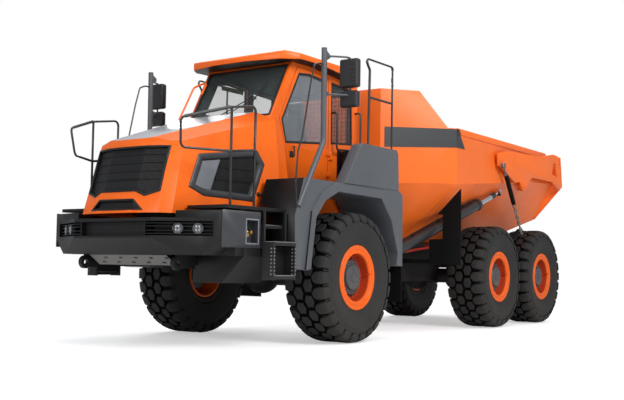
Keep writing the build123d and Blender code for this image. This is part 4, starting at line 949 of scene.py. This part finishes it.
piece("windscreen_wiper", wiper(), PLASTIC)
handle = [(0.312, CAB_SIDE + out, z) for out, z in ((0.004, 2.318), (0.03, 2.318), (0.03, 2.44), (0.004, 2.44))]
door_handle = join(slab(0.3, 0.38, CAB_SIDE, CAB_SIDE + 0.008, 2.3, 2.38), bar(handle, 0.008, 8, bend=0.012))
piece("door_handle", door_handle, PLASTIC, "door", bevel=0.002)
HOOP = [(1.0, -0.62, 2.79), (0.76, -0.6, 3.24), (0.7, -0.52, 3.29), (0.7, -0.43, 3.29), (0.8, -0.43, 3.13)]
piece("screen_grab_hoop", bar(HOOP, 0.013, bend=0.06), ORANGE)
piece("side_blind", slab(-0.3, 0.16, -0.64, -0.628, 3.31, 3.372), OLIVE, bevel=0.004)

POST_Y = 1.43  # width at which the mirror posts stand
GRAB = [(0.735, 3.335), (0.811, 3.337), (0.916, 3.299), (0.993, 3.045), (1.14, 2.417), (1.216, 2.255), (1.255, 1.879),
        (1.225, 1.6)]
piece("post_grab_rails", both(bar([(x, POST_Y, z) for x, z in GRAB], 0.01, 8, bend=0.06)), RAIL)
# painted shade: a black slatted plate low on the rear of each cab side, where the cab lies in shade
slats = [2.04 + 0.06 * k for k in range(7)]
SHADE_PANEL = join(slab(-1.16, -0.7, CAB_SIDE - 0.004, CAB_SIDE + 0.004, 1.96, 2.5),
            *[slab(-1.12, -0.74, CAB_SIDE + 0.002, CAB_SIDE + 0.01, z, z + 0.016) for z in slats])
piece("cab_side_shade_panels", both(SHADE_PANEL), BLACK, bevel=0.002)

# ---- mirrors
MIRROR_X, MIRROR_Y = 0.4, 1.6  # middle of the heads
POST = [(1.199, POST_Y, 1.618), (0.705, POST_Y, 2.42), (0.715, POST_Y, 3.538)]
BRACKETS = ([(0.7, 3.52), (0.61, 3.47), (0.61, 3.43), (0.7, 3.38)],
            [(0.7, 3.03), (0.62, 3.005), (0.62, 2.975), (0.7, 2.95)])
ARMS = ([(0.64, 1.44, 3.45), (0.48, 1.59, 3.452), (MIRROR_X, MIRROR_Y, 3.45), (MIRROR_X, MIRROR_Y, 3.41)],
        [(0.64, 1.44, 2.99), (0.48, MIRROR_Y, 2.99), (MIRROR_X, MIRROR_Y, 2.99), (MIRROR_X, MIRROR_Y, 3.1)])


def mirror_frames():
    cap = turned([(0.034, 0), (0.034, 0.006), (0.026, 0.012), (0, 0.012)], (st(0.715), POST_Y, 3.526), (0, 0, 1), 18)
    brackets = [prism([(st(x), z) for x, z in outline], 1.424, 1.446) for outline in BRACKETS]
    arms = [bar(run, 0.012, bend=0.035) for run in ARMS]
    strut = bar([(1.15, POST_Y, 1.61), (1.06, POST_Y, 1.8)], 0.012, 8)
    return join(bar(POST, 0.034, 14, bend=0.16), cap, *brackets, *arms, strut)


def mirror_blocks(rows):
    """Boxes of the mirror heads: back and front, half width, foot and top."""
    return join(*[slab(x0, x1, MIRROR_Y - wide, MIRROR_Y + wide, z0, z1) for x0, x1, wide, z0, z1 in rows])


HEADS = ((0.357, 0.455, 0.13, 3.09, 3.44), (0.362, 0.45, 0.125, 2.85, 3.05))
GLASSES = ((0.3515, 0.3575, 0.116, 3.105, 3.425), (0.3515, 0.3575, 0.112, 2.864, 3.036))


def mirror_ribs():
    return join(*[bar([(0.456, 1.64, z), (0.456, 1.718, z), (0.38, 1.7245, z)], 0.0042, 6, bend=0.02)
                  for z in [3.16 + 0.048 * k for k in range(5)]])


frames = piece("mirror_frames", both(mirror_frames()), GREY, angle=40)
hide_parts("mirrors")
piece("mirror_heads", both(mirror_blocks(HEADS)), PLASTIC, bevel=0.028, segments=4)
piece("mirror_ribs", both(mirror_ribs()), PLASTIC)
piece("mirror_glasses", both(mirror_blocks(GLASSES)), MIRROR, bevel=0.002)

# ---- operator's seat
SEAM_AT, SEAM_SPREAD, SEAM_DEPTH = 0.27, 0.022, 0.01  # sewn channels: shares of the pad's width, and depth


def pad(name, size, place, lean, crown=0.22, cells=(8, 8, 3)):
    """Upholstered pad: crowned faces, sides pulled in between rounded corners, two sewn channels on top."""
    bm = bmesh.new()
    nx, ny, nz = cells
    index = {}

    def vertex(i, j, k):
        if (i, j, k) not in index:
            u, v, w = 2 * i / nx - 1, 2 * j / ny - 1, 2 * k / nz - 1
            swell = 1 - crown * (abs(u) ** 3 + abs(v) ** 3) / 2
            pull = 1 - 0.035 * (1 - u * u) * abs(v) ** 4 - 0.035 * (1 - v * v) * abs(u) ** 4
            round_off = 1 - 0.1 * abs(w) ** 3
            squeeze = 1 - 0.05 * (abs(u) * abs(v)) ** 3
            shrunk = pull * round_off * squeeze / 2
            index[(i, j, k)] = bm.verts.new((u * size[0] * shrunk, v * size[1] * shrunk, w * size[2] / 2 * swell))
        return index[(i, j, k)]

    def grid(across, up, place):
        for a in range(across):
            for b in range(up):
                bm.faces.new([vertex(*place(a + da, b + db)) for da, db in ((0, 0), (1, 0), (1, 1), (0, 1))])

    for end in (0, 1):
        grid(nx, ny, lambda a, b: (a, b, end * nz))
        grid(nx, nz, lambda a, b: (a, end * ny, b))
        grid(ny, nz, lambda a, b: (end * nx, a, b))
    for v in bm.verts:
        if v.co.z > size[2] * 0.25:
            v.co.z -= SEAM_DEPTH * exp(-((abs(v.co.y) / size[1] - SEAM_AT) / SEAM_SPREAD) ** 2)
    bmesh.ops.recalc_face_normals(bm, faces=bm.faces)
    mesh = written(bm, bpy.data.meshes.new(name))
    mesh.transform(Matrix.Translation(place) @ Matrix.Rotation(radians(lean), 4, "Y"))
    o = add_object(name, mesh, FABRIC)
    sub = o.modifiers.new("rounding", "SUBSURF")
    sub.levels = sub.render_levels = 2
    return o


SEAT = st(-0.33)
cushion = pad("seat_cushion", (0.51, 0.5, 0.135), (SEAT + 0.01, 0, 2.355), -3)
pad("seat_backrest", (0.6, 0.475, 0.125), (SEAT - 0.268, 0, 2.715), -77)
pad("seat_headrest", (0.205, 0.26, 0.09), (SEAT - 0.352, 0, 3.1), -82, crown=0.35, cells=(6, 6, 3))
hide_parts("operator_seat")
BASE = ((-0.2, 0.19, 0.19, 1.945, 2.02), (-0.15, 0.15, 0.15, 2.02, 2.23), (-0.225, 0.215, 0.215, 2.23, 2.29))
base = join(*[block(SEAT + x0, SEAT + x1, -half, half, z0, z1) for x0, x1, half, z0, z1 in BASE],
            *[tube([(SEAT - 0.33, y, 2.96), (SEAT - 0.35, y, 3.06)], 0.007, 8) for y in (-0.06, 0.06)],
            both(block(SEAT - 0.12, SEAT + 0.16, 0.265, 0.33, 2.5, 2.545)))
piece("seat_base", base, CABIN, bevel=0.01)

# ---- second colours on softened pieces
def repaint(name, mat, test):
    """Faces of a softened piece that pass the test (centre, normal) take a second material."""
    paint_faces(bpy.data.objects[name + "_soft"], mat, lambda p: test(p.center, p.normal))


CAB_INSIDE = 0.66  # half width within which a cab wall's face belongs to its inside
CAB_MIDDLE = Vector((st(-0.2), 0, 2.7))
repaint("bonnet", BONNET_TOP, lambda c, n: n.z > 0.85 and abs(c.y) < 0.2 and c.z > 2.1)
for hand in ("left", "right"):
    repaint("fender_" + hand, BLACK, lambda c, n: n.x > 0.6 and c.x > st(1) or c.z > 1.96 and abs(c.y) < 1.296)
repaint("cab_shell", CABIN, lambda c, n: abs(c.y) < CAB_INSIDE and n.dot(CAB_MIDDLE - c) > 0 or n.z < -0.5
        and c.z < 2.0)
repaint("side_boxes", BUMPER_GREY, lambda c, n: c.z < 1.12 or n.z < -0.2)
repaint("cab_door", CABIN, lambda c, n: n.y < -0.5)
# the roof's downward faces are black: the dark ceiling inside the cab, and painted shade under the roof's overhang
repaint("cab_roof", BLACK, lambda c, n: n.z < -0.3)

# ---- stage, light, camera
def camera_rays(nt, *others):
    """1 for rays that come straight from the camera, or are of one of the other kinds."""
    path = node(nt, "LightPath")
    seen = path.outputs["Is Camera Ray"]
    for kind in others:
        seen = node(nt, "Math", {0: seen, 1: path.outputs[kind]}, operation="MAXIMUM")
    return seen


def floor_material():
    """Pale floor that keeps the truck's shadow; for camera rays it turns to plain white away from the truck."""
    m, nt, bsdf = new_mat("studio_floor")
    camera = camera_rays(nt)
    lift = node(nt, "Math", {0: camera, 1: FLOOR_LIFT}, operation="MULTIPLY")
    feed(nt, bsdf, {"Base Color": (0.8, 0.8, 0.8, 1), "Roughness": 0.7, "Specular IOR Level": 0.2,
                    "Emission Color": WHITE, "Emission Strength": lift})
    reach = node(nt, "VectorMath", {0: object_place(nt)}, operation="LENGTH")
    far = node(nt, "MapRange", {"From Min": FLOOR_FADE[0], "From Max": FLOOR_FADE[1], "Value": reach.outputs["Value"]},
               interpolation_type="SMOOTHSTEP")
    seen = node(nt, "Math", {0: far, 1: camera}, operation="MULTIPLY")
    plain = node(nt, "Emission", {"Strength": 1.0})
    mix = node(nt, "MixShader", {0: seen, 1: bsdf, 2: plain})
    out = next(n for n in nt.nodes if n.type == "OUTPUT_MATERIAL")
    feed(nt, out, {0: mix})
    return m


WHITE = (1, 1, 1, 1)
FLOOR_HALF = 60
FLOOR_LIFT = 0.45  # camera rays see the floor this much brighter than it is lit
FLOOR_FADE = (6.5, 13.0)  # distances from the truck's middle over which it turns white
floor = bpy.data.meshes.new("floor")
floor.from_pydata([(x, y, 0) for x, y in rect(-FLOOR_HALF, FLOOR_HALF, -FLOOR_HALF, FLOOR_HALF)], [], [(0, 1, 2, 3)])
floor.materials.append(floor_material())
link("floor", floor)

world = bpy.data.worlds.new("studio")
scene.world = world
world.use_nodes = True
nt = world.node_tree
nt.nodes.clear()
light = node(nt, "Background", {"Color": (0.94, 0.97, 1.0, 1), "Strength": 0.5})
backdrop = node(nt, "Background", {"Color": WHITE, "Strength": 1.0})
mix = node(nt, "MixShader", {0: camera_rays(nt, "Is Transmission Ray"), 1: light, 2: backdrop})
node(nt, "OutputWorld", {0: mix})


def area(name, place, target, size, power):
    lamp = bpy.data.lights.new(name, "AREA")
    lamp.shape = "RECTANGLE"
    lamp.size, lamp.size_y = size
    lamp.energy = power
    o = link(name, lamp)
    o.location = place
    o.rotation_euler = (Vector(target) - Vector(place)).to_track_quat("-Z", "Y").to_euler()


area("key", (5, 12, 9), (0, 0, 1.2), (6, 5), 1350)
area("front", (14, 1, 6), (2, 0, 1.5), (5, 3), 330)
area("sky", (0, 0, 12), (0, 0, 0), (12, 8), 620)
area("back", (-9, -9, 7), (0, 0, 1.5), (6, 5), 420)

# camera: where it stands, how it is turned, its lens
CAMERA_PLACE = (st(9.942), 7.743, 0.962)
YAW, PITCH, ROLL = radians(215.0), radians(3.862), radians(0.831)
SENSOR_MM, LENS_MM = 36.0, 54.801923076923075
look = Vector((cos(YAW) * cos(PITCH), sin(YAW) * cos(PITCH), sin(PITCH)))
right = look.cross(Vector((0, 0, 1))).normalized()
upright = Matrix((right, right.cross(look), -look)).transposed().to_4x4()
lens = bpy.data.cameras.new("camera")
lens.sensor_fit = "HORIZONTAL"
lens.sensor_width, lens.lens = SENSOR_MM, LENS_MM
camera = link("camera", lens)
camera.matrix_world = Matrix.Translation(CAMERA_PLACE) @ upright @ Matrix.Rotation(ROLL, 4, "Z")
scene.camera = camera
scene.view_settings.view_transform = "Standard"
